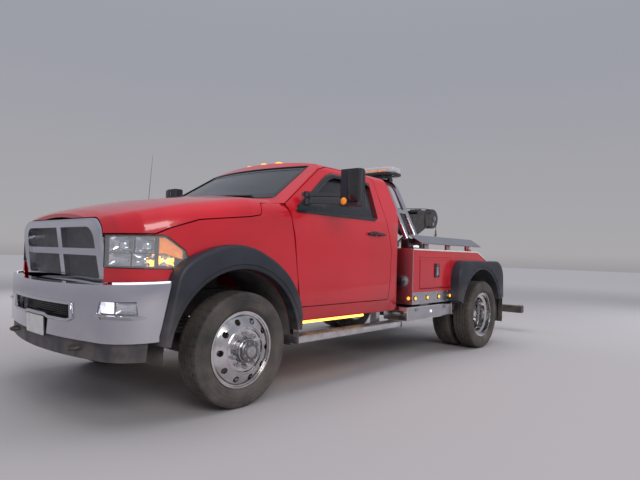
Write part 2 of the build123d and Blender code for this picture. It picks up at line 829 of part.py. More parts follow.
with BuildPart() as hood:
    add(nose_outer)
    add(nose_body(hood_skin), mode=Mode.SUBTRACT)
    slab(hood_shut + [(-960, 1700), (hood_rear, 1700), (hood_rear, belt_height + 58)], -1100, 1100, Mode.INTERSECT)
    add(grille_room, mode=Mode.SUBTRACT)
    with BuildSketch(Plane.XY.offset(1300)) as cowl_cut:
        with BuildLine():
            ThreePointArc((back(430), 900), (back(238), 0), (back(430), -900))
            Polyline((back(430), -900), (back(700), -900), (back(700), 900), (back(430), 900))
        make_face()
    extrude(cowl_cut.sketch, amount=500, dir=(0, 0, 1), mode=Mode.SUBTRACT)
hood.part.label = "hood"
export_step(hood.part, "parts/hood.step")

lamp_outline = [(-420, 1015), (-450, 1090), (-585, grille_high - 109), (-985, grille_high - 120), (-985, 965),
                (-480, 965)]
fender_rear = [(612, 590)] + [(d - 6, z) for d, z in door_front[1:]]
fender_top = [(hood_rear, belt_height + 51)] + [(d + shut_gap, z - shut_gap) for d, z in hood_shut]
fender_low = [(-960, 876), (-815, 876), (-790, 835), (-690, 835), (-650, 893), (-540, 895), (-400, 590)]
with BuildPart() as front_fenders:
    add(nose_outer)
    add(nose_inner, mode=Mode.SUBTRACT)
    slab(fender_rear + fender_top + fender_low, -1100, 1100, Mode.INTERSECT)
    across(-arch_centre, wheel_z, arch_radius, -1100, 1100, Mode.SUBTRACT)
    block(-arch_centre - arch_radius, 612, -1100, 1100, 400, wheel_z, Mode.SUBTRACT)
    slab(lamp_outline, -1100, 1100, Mode.SUBTRACT)
    block(-1000, 700, -600, 600, 400, 1600, Mode.SUBTRACT)
    add(grille_room, mode=Mode.SUBTRACT)
front_fenders.part.label = "front_fenders"
export_step(front_fenders.part, "parts/front_fenders.step")

# Front lamps, grille and bumper

lamp_gap = 4
lamp_inner_y = cab_half - 360
with BuildPart() as headlamps:
    add(nose_body(lamp_gap))
    add(extrude(grown(lamp_outline, -lamp_gap).moved(Location((0, 1100, 0))), amount=2200, dir=(0, -1, 0),
                mode=Mode.PRIVATE), mode=Mode.INTERSECT)
    column([(-425, 930), (-760, lamp_inner_y + 60), (-800, lamp_inner_y), (-1000, lamp_inner_y),
            (-1000, 1100), (-425, 1100)], 800, 1300, Mode.INTERSECT)
    add(grille_room, mode=Mode.SUBTRACT)
    mirror(about=Plane.XZ)
headlamps.part.label = "headlamps"
export_step(headlamps.part, "parts/headlamps.step")

grille_frame_width = 54
grille_side_extra = 42
grille_frame_depth = 62
grille_bar = 46
grille_post = 70

with BuildPart() as grille_frame:
    extrude(grille_face(0), amount=grille_frame_depth, dir=grille_out)
    chamfer(grille_frame.faces().sort_by(Axis.X)[-1].outer_wire().edges(), 14)
    extrude(grille_face(grille_frame_width, grille_side_extra), amount=grille_frame_depth + 1, dir=grille_out,
            mode=Mode.SUBTRACT)
    with BuildSketch(grille_plane) as cross:
        with Locations((0, grille_height / 2)):
            Rectangle(grille_post, grille_height - grille_frame_width)
            Rectangle(2 * (grille_half_low - grille_frame_width - grille_side_extra), grille_bar)
    extrude(cross.sketch, amount=grille_frame_depth - 14, dir=grille_out)
grille_frame.part.label = "grille_frame"
export_step(grille_frame.part, "parts/grille_frame.step")

with BuildPart() as grille_mesh:
    extrude(grille_face(20), amount=-14, dir=grille_out)
grille_mesh.part.label = "grille_mesh"
export_step(grille_mesh.part, "parts/grille_mesh.step")

bumper_wall = 60
flare_front_outline = [(-637, 500), (-637, 560), (-550, 963), (-438, 1049), (-237, 1121), (-91, 1143), (82, 1118),
                       (291, 1022), (442, 904), (544, 754), (585, 604), (575, 490)]
intake = [(-480, 640), (-440, 628), (-200, 628), (-150, 642), (150, 642), (200, 628), (440, 628), (480, 640),
          (470, 725), (-470, 725)]
fog_recess = [(735, 686), (965, 690), (958, 770), (752, 762)]

with BuildPart() as bumper:
    extrude(bumper_band(0, -530), amount=700, dir=(0, 0, 1))
    extrude(bumper_band(bumper_wall, -400), amount=700, dir=(0, 0, 1), mode=Mode.SUBTRACT)
    slab(bumper_top_line + [(-1100, 500), (-600, 528), (-400, 528)], -1100, 1100, Mode.INTERSECT)
    add(extrude(grown(flare_front_outline, lamp_gap).moved(Location((0, 1200, 0))), amount=2400, dir=(0, -1, 0),
                mode=Mode.PRIVATE), mode=Mode.SUBTRACT)
    beam(intake, -1100, -870, Mode.SUBTRACT)
    for sign in (1, -1):
        beam([(sign * y, z) for y, z in fog_recess], -1100, -640, Mode.SUBTRACT)
bumper.part.label = "bumper"
export_step(bumper.part, "parts/bumper.step")

with BuildPart() as hood_stops:
    for sign in (1, -1):
        y_near, y_far = sorted((sign * 450, sign * 480))
        block(-690, -660, y_near, y_far, core_bar_low + 59, 1500)
    add(nose_body(hood_skin + seat_gap), mode=Mode.INTERSECT)

rail_web = 8
rail_flange = 10
with BuildPart() as chassis_frame:
    for sign in (1, -1):
        y_from = min(sign * rail_inner_half, sign * rail_outer_half)
        slab([(bumper_back, rail_bottom + 30), (-300, rail_bottom), (frame_end, rail_bottom),
              (frame_end, rail_top), (bumper_back, rail_top)], y_from, y_from + rail_width)
        web = sign * (rail_outer_half - rail_web)
        slab([(bumper_back + 200, rail_bottom + 20 + rail_flange), (-300, rail_bottom + rail_flange),
              (frame_end - 60, rail_bottom + rail_flange),
              (frame_end - 60, rail_top - rail_flange), (bumper_back + 200, rail_top - rail_flange)],
             min(sign * rail_inner_half, web), max(sign * rail_inner_half, web), Mode.SUBTRACT)
        for station in (520, 1950):
            block(station, station + 80, y_from, y_from + rail_width, rail_top - 1, cab_underside - seat_gap)
    add(bumper.part, mode=Mode.SUBTRACT)
chassis_frame.part.label = "chassis_frame"
export_step(chassis_frame.part, "parts/chassis_frame.step")

with BuildPart() as cross_members:
    member_half = rail_outer_half - rail_web
    for station, length, low, depth in member_table:
        block(station, station + length, -member_half, member_half, rail_bottom + low, rail_bottom + low + depth)
cross_members.part.label = "cross_members"
export_step(cross_members.part, "parts/cross_members.step")

with BuildPart() as core_support:
    for sign in (1, -1):
        y_near, y_far = sorted((sign * (rail_outer_half - 35), sign * rail_outer_half))
        block(-690, -640, y_near, y_far, rail_top, core_bar_low + 1)
        y_near, y_far = sorted((sign * 500, sign * 540))
        block(-grille_set - 23, -690, y_near, y_far, core_bar_low, core_bar_low + 30)
    block(-700, -640, 200 - cab_half, cab_half - 200, core_bar_low, core_bar_low + 60)
    for carried in (bumper, headlamps, grille_mesh, grille_frame):
        add(carried.part, mode=Mode.SUBTRACT)
    add(hood_stops.part)
core_support.part.label = "core_support"
export_step(core_support.part, "parts/core_support.step")

with BuildPart() as valance:
    extrude(bumper_band(20, -500), amount=700, dir=(0, 0, 1))
    extrude(bumper_band(60, -400), amount=700, dir=(0, 0, 1), mode=Mode.SUBTRACT)
    slab([(-690, 540), (-1100, 520), (-1100, 385), (-700, 405)], -1100, 1100, Mode.INTERSECT)
    add(bumper.part, mode=Mode.SUBTRACT)
valance.part.label = "valance"
export_step(valance.part, "parts/valance.step")

with BuildPart() as fog_lamps:
    extrude(bumper_band(bumper_wall - 26, -530), amount=700, dir=(0, 0, 1))
    extrude(bumper_band(bumper_wall - 12, -400), amount=700, dir=(0, 0, 1), mode=Mode.SUBTRACT)
    beam(fog_recess, -1100, -640, Mode.INTERSECT)
    mirror(about=Plane.XZ)

with BuildPart() as front_flares:
    flare_left = extrude(grown(flare_front_outline, 0).moved(Location((0, cab_half - 70, 0))), amount=155, dir=(0, 1, 0))
    across(-arch_centre, wheel_z, arch_radius, 900, 1200, Mode.SUBTRACT)
    block(-700, 700, 900, 1200, 400, 500, Mode.SUBTRACT)
    block(-arch_centre - arch_radius, -arch_centre + arch_radius, 900, 1200, 400, wheel_z + 60, Mode.SUBTRACT)
    chamfer(front_flares.faces().sort_by(Axis.Y)[-1].outer_wire().edges(), 26)
    add(nose_outer, mode=Mode.SUBTRACT)
    add(cab_outer, mode=Mode.SUBTRACT)
    add(bumper.part, mode=Mode.SUBTRACT)
    mirror(about=Plane.XZ)

with BuildPart() as clearance_lamps:
    for station, y in ((1100, 0), (1100, 210), (1100, -210), (1200, 525), (1200, -525)):
        roof_z = roof_height - 66 * (y / 655) ** 2
        block(station - 45, station + 45, y - 32, y + 32, roof_z - 6, roof_z + 22)
    add(cab_outer, mode=Mode.SUBTRACT)

# Steps, lamps under the sills and mirrors

with BuildPart() as running_boards:
    for sign in (1, -1):
        y_near, y_far = sorted((sign * (cab_half - 70), sign * (cab_half + 80)))
        block(520, 1995, y_near, y_far, 392, 440)
        for station in (600, 1750):
            y_near, y_far = sorted((sign * (cab_half - 120), sign * (cab_half - 50)))
            block(station, station + 60, y_near, y_far, 400, rocker_height)
running_boards.part.label = "running_boards"
export_step(running_boards.part, "parts/running_boards.step")

with BuildPart() as glow_tubes:
    for sign in (1, -1):
        with BuildSketch(Plane.YZ.offset(back(1560))) as tube:
            with Locations((sign * 935, rocker_height - 13)):
                Circle(13)
        extrude(tube.sketch, amount=870, dir=(1, 0, 0))

with BuildPart() as mirror_left:
    head_in, head_out = cab_half + 195, cab_half + 385
    column([(835, head_in), (845, head_out), (905, head_out), (940, head_out - 15), (940, head_in + 10),
            (905, head_in)], belt_height + 65, belt_height + 360)
    fillet(mirror_left.edges().filter_by(Axis.Z), 22)
    for rise in (80, 140):
        z = belt_height + rise
        column([(640, cab_half - 40), (690, cab_half - 40), (905, head_in + 5), (860, head_in + 35)], z, z + 28)
    slab([(590, belt_height + 30), (590, belt_height + 58), (720, belt_height + 150), (740, belt_height + 30)],
         cab_half - 45, cab_half - 22)
    add(door_left.part, mode=Mode.SUBTRACT)
    add(cab_outer, mode=Mode.SUBTRACT)
mirror_left.part.label = "mirror_left"
export_step(mirror_left.part, "parts/mirror_left.step")
with BuildPart() as mirror_right:
    mirror(mirror_left.part, about=Plane.XZ)
mirror_right.part.label = "mirror_right"
export_step(mirror_right.part, "parts/mirror_right.step")

# Tow body

slope_start = wheelbase + 75
slope_end_height = 965
tool_bay_back = 3080
# Front, rear, bottom and top of the tool bay door, which hangs from its top edge
tool_door = (2330, 3018, 757, 1082)
hinge_gap = 0.5
with BuildPart() as body_sides:
    slab([(body_front, red_bottom), (body_front, body_top), (slope_start, body_top), (body_back - 15, slope_end_height),
          (body_back, channel_bottom), (body_back - 135, channel_bottom), (wheelbase - 470, red_bottom)], body_inner_half, body_half)
    across(wheelbase, wheel_z, rear_arch_radius, body_inner_half + body_wall, body_half + 10, Mode.SUBTRACT)
    block(body_front + body_wall, tool_bay_back, body_inner_half + body_wall, body_half - body_wall,
          red_bottom + body_wall, body_top - body_wall, Mode.SUBTRACT)
    block(tool_door[0] - shut_gap, tool_door[1] + shut_gap, body_half - body_wall - 10, body_half + 10,
          tool_door[2] - shut_gap, tool_door[3] + hinge_gap, Mode.SUBTRACT)
    mirror(about=Plane.XZ)
body_sides.part.label = "body_sides"
export_step(body_sides.part, "parts/body_sides.step")

with BuildPart() as tool_door_left:
    block(tool_door[0], tool_door[1], body_half - body_wall, body_half, tool_door[2], tool_door[3])
    block(2650, 2735, body_half, body_half + 8, 875, 1015)
tool_door_left.part.label = "tool_door_left"
export_step(tool_door_left.part, "parts/tool_door_left.step")
with BuildPart() as tool_door_right:
    mirror(tool_door_left.part, about=Plane.XZ)
tool_door_right.part.label = "tool_door_right"
export_step(tool_door_right.part, "parts/tool_door_right.step")

with BuildPart() as lower_channels:
    slab([(body_front, red_bottom), (body_front, channel_bottom), (wheelbase - 565, channel_bottom),
          (wheelbase - 490, red_bottom)],
         rail_outer_half + 300, body_half)
    block(body_front + 6, 3060, rail_outer_half + 306, body_half - 6, channel_bottom + 6, red_bottom - 6,
          Mode.SUBTRACT)
    mirror(about=Plane.XZ)

with BuildPart() as lower_boxes:
    block(2110, 3090, 800, body_half - 10, 436, 568)
    block(2500, 2700, 840, 1000, 568, channel_bottom)
    mirror(about=Plane.XZ)

with BuildPart() as front_panels:
    block(body_front - 10, body_front, body_inner_half, body_half, channel_bottom, body_top)
    with BuildSketch(Plane.YZ.offset(back(body_front - 10))) as cap:
        with Locations((955, 830)):
            Circle(62)
    extrude(cap.sketch, amount=32, dir=(1, 0, 0))
    mirror(about=Plane.XZ)
with BuildPart() as steel_panels:
    add(lower_channels.part)
    add(lower_boxes.part)
    add(front_panels.part)
steel_panels.part.label = "steel_panels"
export_step(steel_panels.part, "parts/steel_panels.step")

flare_rear_outline = [
    (wheelbase - 640, 600),
    (wheelbase - 635, 900),
    (wheelbase - 575, 1010),
    (wheelbase - 480, 1058),
    (wheelbase + 480, 1058),
    (wheelbase + 575, 1000),
    (wheelbase + 635, 900),
    (wheelbase + 650, 600),
]
with BuildPart() as rear_flares:
    extrude(grown(flare_rear_outline, 0).moved(Location((0, body_half, 0))), amount=flare_half - body_half,
            dir=(0, 1, 0))
    across(wheelbase, wheel_z, rear_arch_radius - 15, 1000, 1300, Mode.SUBTRACT)
    block(wheelbase - rear_arch_radius + 20, wheelbase + rear_arch_radius - 20, 1000, 1300, 500, 640, Mode.SUBTRACT)
    chamfer(rear_flares.faces().sort_by(Axis.Y)[-1].outer_wire().edges(), 22)
    mirror(about=Plane.XZ)
with BuildPart() as flares:
    add(front_flares.part)
    add(rear_flares.part)
flares.part.label = "flares"
export_step(flares.part, "parts/flares.step")

with BuildPart() as tow_deck:
    block(body_front, frame_end, -body_inner_half, body_inner_half, rail_top, deck_top)
    block(frame_end - 60, body_back - 20, -body_inner_half, body_inner_half, channel_bottom, deck_top)
    block(tread_start, body_back - 20, shut_gap - body_inner_half, body_inner_half - shut_gap, deck_top - 1,
          deck_top + tread_plate)
    block(frame_end - 80, frame_end, -rail_outer_half - 20, rail_outer_half + 20, rail_bottom, rail_top, Mode.SUBTRACT)
    notch_half = lift_size / 2 + cheek_plate + 10
    block(frame_end - 80, body_back, -notch_half, notch_half, channel_bottom - 10, rail_top, Mode.SUBTRACT)
    for sign in (1, -1):
        y_near, y_far = sorted((sign * (notch_half - 3), sign * (notch_half + 20)))
        slab([(body_back - 20, 560), (body_back - 20, 700), (lift_pivot_set, lift_pivot_height + 45),
              (lift_pivot_set + 40, lift_pivot_height), (lift_pivot_set, lift_pivot_height - 40)], y_near, y_far)
    across(lift_pivot_set, lift_pivot_height, lift_pin, -notch_half - 10, notch_half + 10)
    for sign in (1, -1):
        y_near, y_far = sorted((sign * 42, sign * 56))
        slab([(tilt_base_set - 60, rail_top), (tilt_base_set + 60, rail_top), (tilt_base_set + 28, tilt_base_height - 25),
              (tilt_base_set - 28, tilt_base_height - 25)], y_near, y_far)
    across(tilt_base_set, tilt_base_height, 16, -50, 50)
    for sign in (1, -1):
        y_near, y_far = sorted((sign * chain_eye_y, sign * (chain_eye_y + chain_eye_plate)))
        slab([(body_back - 21, chain_eye_z - 40), (body_back - 21, chain_eye_z + 50),
              (chain_eye_set + 13, chain_eye_z + 35), (chain_eye_set + 33, chain_eye_z),
              (chain_eye_set + 13, chain_eye_z - 35)], y_near, y_far)
        across(chain_eye_set, chain_eye_z, chain_eye_bore, y_near - 1, y_far + 1, Mode.SUBTRACT)
tow_deck.part.label = "tow_deck"
export_step(tow_deck.part, "parts/tow_deck.step")

with BuildPart() as mudflaps:
    block(body_back - 35, body_back - 25, 690, 1190, 275, channel_bottom)
    block(body_back - 25, body_back, 690, 1080, channel_bottom - 30, channel_bottom)
    mirror(about=Plane.XZ)
mudflaps.part.label = "mudflaps"
export_step(mudflaps.part, "parts/mudflaps.step")

with BuildPart() as side_rails:
    beam([(975, 1322), (990, 1322), (1076, 1236), (1070, 1229), (986, 1313), (975, 1313)], 2250, 3860)
    slab([(2400, 1220), (2250, 1330), (3740, 1330), (3900, 1220)], 800, 1100, Mode.INTERSECT)
    for station in (2570, 3080, 3600):
        block(station, station + 90, 975, 1000, body_top, 1305)
    mirror(about=Plane.XZ)
side_rails.part.label = "side_rails"
export_step(side_rails.part, "parts/side_rails.step")

with BuildPart() as tail_lamps:
    block(body_back - 8, body_back + 22, 860, 1060, 655, 770)
    add(body_sides.part, mode=Mode.SUBTRACT)
    mirror(about=Plane.XZ)

with BuildPart() as marker_lamps:
    for station in (2245, 2495, 2745, 3000):
        with BuildSketch(Plane.XZ.offset(-body_half)) as lens:
            with Locations((back(station), 658)):
                Circle(20)
        extrude(lens.sketch, amount=14, dir=(0, 1, 0))
    mirror(about=Plane.XZ)
with BuildPart() as small_lamps:
    for lamps in (fog_lamps, clearance_lamps, glow_tubes, tail_lamps, marker_lamps):
        add(lamps.part)
small_lamps.part.label = "small_lamps"
export_step(small_lamps.part, "parts/small_lamps.step")

# Arch behind the cab and its light bar

arch_stations = (2330, 2520)
arch_tube = 30
arch_top = 1955
arch_foot = 1215
with BuildPart() as tube_arch:
    for station in arch_stations:
        with BuildLine() as hoop:
            FilletPolyline((back(station), 952, arch_foot), (back(station), 590, arch_top),
                           (back(station), -590, arch_top), (back(station), -952, arch_foot), radius=260)
        with BuildSketch(Plane(origin=hoop.line @ 0, z_dir=hoop.line % 0)) as ring:
            Circle(arch_tube)
        sweep(ring.sketch, path=hoop.line)
    for sign in (1, -1):
        y_near, y_far = sorted((sign * 885, sign * 968))
        block(arch_stations[0] - 50, arch_stations[1] + 50, y_near, y_far, body_top, arch_foot + 60)
    block(arch_stations[0], arch_stations[1], -800, 800, 1560, 1600)
tube_arch.part.label = "tube_arch"
export_step(tube_arch.part, "parts/tube_arch.step")

bar_half = 720
bar_low = arch_top + arch_tube
with BuildPart() as light_bar:
    column([(2290, -bar_half + 90), (2340, -bar_half), (2500, -bar_half), (2560, -bar_half + 90),
            (2560, bar_half - 90), (2500, bar_half), (2340, bar_half), (2290, bar_half - 90)], bar_low, bar_low + 95)
    chamfer(light_bar.faces().sort_by(Axis.Z)[-1].edges(), 24)
light_bar.part.label = "light_bar"
export_step(light_bar.part, "parts/light_bar.step")

# Boom, its mast, winch and lifting cylinder

rise = radians(boom_rise)
boom_plane = Plane(origin=(back(boom_pivot_set), 0, boom_pivot_height), x_dir=(-cos(rise), 0, sin(rise)),
                   z_dir=(0, 1, 0))
mast_half = boom_width / 2 + mast_gap


def boom_slab(outline, y_from, y_to, mode=Mode.ADD):
    """A closed (distance along the boom, height above its axis) outline between two widths."""
    with BuildSketch(boom_plane.offset(y_from)) as face:
        with BuildLine():
            Polyline(*outline, close=True)
        make_face()
    extrude(face.sketch, amount=y_to - y_from, dir=(0, 1, 0), mode=mode)


def boom_round(along, above, radius, y_from, y_to, mode=Mode.ADD):
    """A round piece or bore across the boom."""
    with BuildSketch(boom_plane.offset(y_from)) as face:
        with Locations((along, above)):
            Circle(radius)
    extrude(face.sketch, amount=y_to - y_from, dir=(0, 1, 0), mode=mode)


half_h = boom_height / 2
half_w = boom_width / 2
with BuildPart() as boom_outer:
    boom_slab([(-boom_tail, -half_h + 30), (-boom_tail + 40, -half_h), (boom_length, -half_h), (boom_length, half_h),
               (-boom_tail + 40, half_h), (-boom_tail, half_h - 30)], -half_w, half_w)
    for sign in (1, -1):
        y_near, y_far = sorted((sign * half_w, sign * (half_w - 14)))
        boom_slab([(950, -half_h + 1), (1000, -half_h - 55), (1080, -half_h - 108), (1230, -half_h - 108),
                   (1470, -half_h - 20), (boom_length, -half_h + 1)], y_near, y_far)
        boom_slab([(1260, half_h - 1), (1300, half_h + 55), (1430, half_h + 55), (1470, half_h - 1)], y_near, y_far)
        y_near, y_far = sorted((sign * 32, sign * (half_w - 13)))
        boom_round(ram_lug_along, -ram_lug_drop, 16, y_near, y_far)
    boom_round(1365, half_h + 38, 34, -half_w + 13, half_w - 13)
    boom_slab([(300, -half_h + boom_wall), (boom_length + 10, -half_h + boom_wall),
               (boom_length + 10, half_h - boom_wall), (300, half_h - boom_wall)],
              -half_w + boom_wall, half_w - boom_wall, Mode.SUBTRACT)
    boom_round(0, 0, boom_pin + pin_gap, -half_w - 5, half_w + 5, Mode.SUBTRACT)
boom_outer.part.label = "boom_outer"
export_step(boom_outer.part, "parts/boom_outer.step")

inner_h = half_h - boom_wall - boom_gap
inner_w = half_w - boom_wall - boom_gap
head = boom_length + head_reach
with BuildPart() as boom_inner:
    boom_slab([(boom_inner_tail, -inner_h), (head - 170, -inner_h), (head - 170, inner_h), (boom_inner_tail, inner_h)],
              -inner_w, inner_w)
    for along in (boom_inner_tail + 10, boom_length - 70):
        for sign in (1, -1):
            low, high = sorted((sign * inner_h, sign * (inner_h + boom_gap - pin_gap)))
            boom_slab([(along, low), (along + 60, low), (along + 60, high), (along, high)], -50, 50)
    for sign in (1, -1):
        y_near, y_far = sorted((sign * inner_w, sign * (inner_w - 16)))
        boom_slab([(head - 171, -inner_h), (head - 40, -inner_h - 20), (head + 70, -40), (head + 110, 40),
                   (head + 60, 110), (head - 60, 120), (head - 171, inner_h)], y_near, y_far)
    boom_round(head, 20, 24, -inner_w + 10, inner_w - 10)
    boom_round(head - 40, -inner_h + 16, 18, -inner_w + 10, inner_w - 10)

with BuildPart() as boom_sheaves:
    for sign in (1, -1):
        y_near, y_far = sorted((sign * 4, sign * (inner_w - 18)))
        boom_round(head, 20, sheave_radius, y_near, y_far)
        boom_round(head, 20, 24 + pin_gap, y_near - 1, y_far + 1, Mode.SUBTRACT)
with BuildPart() as boom_slide:
    add(boom_inner.part)
    add(boom_sheaves.part)
boom_slide.part.label = "boom_slide"
export_step(boom_slide.part, "parts/boom_slide.step")

winch_set = 2460
mast_base = 16
winch_flange = 124
winch_gap = 10
winch_height = deck_top + mast_base + winch_flange + winch_gap
with BuildPart() as boom_mast:
    for sign in (1, -1):
        y_near, y_far = sorted((sign * mast_half, sign * (mast_half + mast_plate)))
        slab([(2590, deck_top), (3140, deck_top), (3120, ram_base_height + 50),
              (2790, boom_pivot_height + 10), (2760, boom_pivot_height + 70), (2640, boom_pivot_height + 70),
              (2610, boom_pivot_height + 10)],
             y_near, y_far)
    block(2350, 3200, -260, 260, deck_top, deck_top + mast_base)
    across(boom_pivot_set, boom_pivot_height, boom_pin, -mast_half - mast_plate, mast_half + mast_plate)
    across(ram_base_set, ram_base_height, ram_pin, -mast_half - 5, mast_half + 5)
    slab([(2600, deck_top), (2640, deck_top), (2640, 1280), (2600, 1280)], -mast_half - 2, mast_half + 2)
    for sign in (1, -1):
        y_near, y_far = sorted((sign * 158, sign * 176))
        slab([(winch_set - 100, deck_top), (winch_set + 90, deck_top), (winch_set + 60, winch_height + 50),
              (winch_set - 60, winch_height + 50)], y_near, y_far)
    across(winch_set, winch_height, 20, -200, 176)
    across(winch_set, winch_height, 75, 176, 330)
boom_mast.part.label = "boom_mast"
export_step(boom_mast.part, "parts/boom_mast.step")

with BuildPart() as winch_drum:
    across(winch_set, winch_height, 82, -150, 150)
    for y in (-150, 138):
        across(winch_set, winch_height, winch_flange, y, y + 12)
    across(winch_set, winch_height, 20 + pin_gap, -160, 160, Mode.SUBTRACT)
winch_drum.part.label = "winch_drum"
export_step(winch_drum.part, "parts/winch_drum.step")


def cylinder_plane(base, eye):
    """Plane across the truck along a cylinder, from its base pin towards its rod's eye."""
    run = (eye - base).normalized()
    return Plane(origin=base, x_dir=run, z_dir=(0, 1, 0))


def cylinder_barrel(plane, radius, length, eye_bore, eye_half):
    """A barrel along the plane's first axis with the eye of its base at the origin."""
    with BuildSketch(Plane(origin=plane.origin + plane.x_dir * eye_bore * 1.3, z_dir=plane.x_dir)) as tube:
        Circle(radius)
    extrude(tube.sketch, amount=length - eye_bore * 1.3, dir=plane.x_dir)
    with BuildSketch(plane.offset(-eye_half)) as eye:
        Circle(eye_bore * 1.9)
    extrude(eye.sketch, amount=2 * eye_half, dir=(0, 1, 0))
    with BuildSketch(plane.offset(-eye_half - 1)) as bore:
        Circle(eye_bore + pin_gap)
    extrude(bore.sketch, amount=2 * eye_half + 2, dir=(0, 1, 0), mode=Mode.SUBTRACT)


def cylinder_rod(plane, radius, start, length, eye_radius_out, eye_half):
    """A rod along the plane's first axis that ends in an eye."""
    with BuildSketch(Plane(origin=plane.origin + plane.x_dir * start, z_dir=plane.x_dir)) as rod:
        Circle(radius)
    extrude(rod.sketch, amount=length - start - eye_radius_out * 0.5, dir=plane.x_dir)
    with BuildSketch(plane.offset(-eye_half)) as eye:
        with Locations((length, 0)):
            Circle(eye_radius_out)
    extrude(eye.sketch, amount=2 * eye_half, dir=(0, 1, 0))
    with BuildSketch(plane.offset(-eye_half - 1)) as bore:
        with Locations((length, 0)):
            Circle(eye_radius_out * 0.5)
    extrude(bore.sketch, amount=2 * eye_half + 2, dir=(0, 1, 0), mode=Mode.SUBTRACT)


ram_base = Vector(back(ram_base_set), 0, ram_base_height)
ram_eye = boom_plane.from_local_coords(Vector(ram_lug_along, -ram_lug_drop, 0))
ram_plane = cylinder_plane(ram_base, ram_eye)
ram_length = (ram_eye - ram_base).length
with BuildPart() as boom_ram_barrel:
    cylinder_barrel(ram_plane, ram_barrel, ram_barrel_length, ram_pin, 40)
    with BuildSketch(Plane(origin=ram_base + ram_plane.x_dir * (ram_rod_inset - 20), z_dir=ram_plane.x_dir)) as bore:
        Circle(ram_rod + pin_gap)
    extrude(bore.sketch, amount=ram_barrel_length, dir=ram_plane.x_dir, mode=Mode.SUBTRACT)
boom_ram_barrel.part.label = "boom_ram_barrel"
export_step(boom_ram_barrel.part, "parts/boom_ram_barrel.step")

with BuildPart() as boom_ram_rod:
    cylinder_rod(ram_plane, ram_rod, ram_rod_inset, ram_length, 34, 26)
boom_ram_rod.part.label = "boom_ram_rod"
export_step(boom_ram_rod.part, "parts/boom_ram_rod.step")

# Wheel lift

lift_half = lift_size / 2
crossbar_set = wheelbase + rear_reach - 24 - claw_thickness / 2 - 6 - crossbar_size / 2
claw_set = crossbar_set + crossbar_size / 2 + 6 + claw_thickness / 2
inner_back = crossbar_set - crossbar_size / 2 - 22
with BuildPart() as lift_arm:
    block(lift_tube_front, lift_tube_back, -lift_half, lift_half, lift_axis_height - lift_half,
          lift_axis_height + lift_half)
    for sign in (1, -1):
        y_near, y_far = sorted((sign * (lift_half - 1), sign * (lift_half + cheek_plate)))
        slab([(lift_pivot_set - 50, lift_pivot_height + 178), (lift_pivot_set + 22, lift_pivot_height + 178),
              (lift_pivot_set + 40, lift_pivot_height + 30), (lift_tube_front + 190, lift_axis_height + lift_half),
              (lift_tube_front + 190, lift_axis_height - lift_half), (lift_tube_front, lift_axis_height - lift_half),
              (lift_tube_front - 10, lift_axis_height), (lift_pivot_set - 38, lift_pivot_height - 30)],
             y_near, y_far)
        y_near, y_far = sorted((sign * 31, sign * (lift_half + 2)))
        across(lift_pivot_set - horn_ahead, lift_pivot_height + horn_rise, 13, y_near, y_far)
    block(lift_tube_front - 10, lift_tube_back + 10, -lift_half + lift_wall, lift_half - lift_wall,
          lift_axis_height - lift_half + lift_wall, lift_axis_height + lift_half - lift_wall, Mode.SUBTRACT)
    across(lift_pivot_set, lift_pivot_height, lift_pin + pin_gap, -200, 200, Mode.SUBTRACT)
lift_arm.part.label = "lift_arm"
export_step(lift_arm.part, "parts/lift_arm.step")

slide_half = lift_half - lift_wall - lift_gap
fork_low = lift_axis_height - crossbar_size / 2 - pin_gap
fork_high = lift_axis_height + crossbar_size / 2 + pin_gap
with BuildPart() as lift_slide:
    block(lift_inner_front, inner_back, -slide_half, slide_half, lift_axis_height - slide_half,
          lift_axis_height + slide_half)
    for station in (lift_inner_front + 10, lift_tube_back - 70):
        block(station, station + 60, -35, 35, lift_axis_height + slide_half,
              lift_axis_height + slide_half + lift_gap - pin_gap)
        block(station, station + 60, -35, 35, lift_axis_height - slide_half - lift_gap + pin_gap,
              lift_axis_height - slide_half)
    for low, high in ((fork_low - 14, fork_low), (fork_high, fork_high + 14)):
        column([(inner_back - 90, -slide_half), (crossbar_set, -42), (crossbar_set + 42, -20), (crossbar_set + 42, 20),
                (crossbar_set, 42), (inner_back - 90, slide_half)], low, high)
    block(inner_back - 90, inner_back, -slide_half, slide_half, fork_low - 14, fork_high + 14)
    with BuildSketch(Plane.XY.offset(fork_low - 14)) as pin:
        with Locations((back(crossbar_set), 0)):
            Circle(swivel_pin)
    extrude(pin.sketch, amount=fork_high - fork_low + 28, dir=(0, 0, 1))
lift_slide.part.label = "lift_slide"
export_step(lift_slide.part, "parts/lift_slide.step")

bar_bottom = lift_axis_height - crossbar_size / 2
bar_top = lift_axis_height + crossbar_size / 2
claw_bottom = lift_axis_height - claw_height / 2
claw_top = lift_axis_height + claw_height / 2
with BuildPart() as crossbar:
    block(crossbar_set - crossbar_size / 2, crossbar_set + crossbar_size / 2, -crossbar_half, crossbar_half, bar_bottom,
          bar_top)
    chamfer(crossbar.edges().filter_by(Axis.Y), 8)
    for sign in (1, -1):
        for low, high in ((bar_bottom, claw_bottom - pin_gap), (claw_top + pin_gap, bar_top)):
            y_near, y_far = sorted((sign * (claw_hinge_y - 34), sign * (claw_hinge_y + 34)))
            block(crossbar_set, claw_set + 24, y_near, y_far, low, high)
        with BuildSketch(Plane.XY.offset(bar_bottom + 2)) as pin:
            with Locations((back(claw_set), sign * claw_hinge_y)):
                Circle(claw_pin)
        extrude(pin.sketch, amount=crossbar_size - 4, dir=(0, 0, 1))
    with BuildSketch(Plane.XY.offset(0)) as bore:
        with Locations((back(crossbar_set), 0)):
            Circle(swivel_pin + pin_gap)
    extrude(bore.sketch, amount=900, dir=(0, 0, 1), mode=Mode.SUBTRACT)
crossbar.part.label = "crossbar"
export_step(crossbar.part, "parts/crossbar.step")

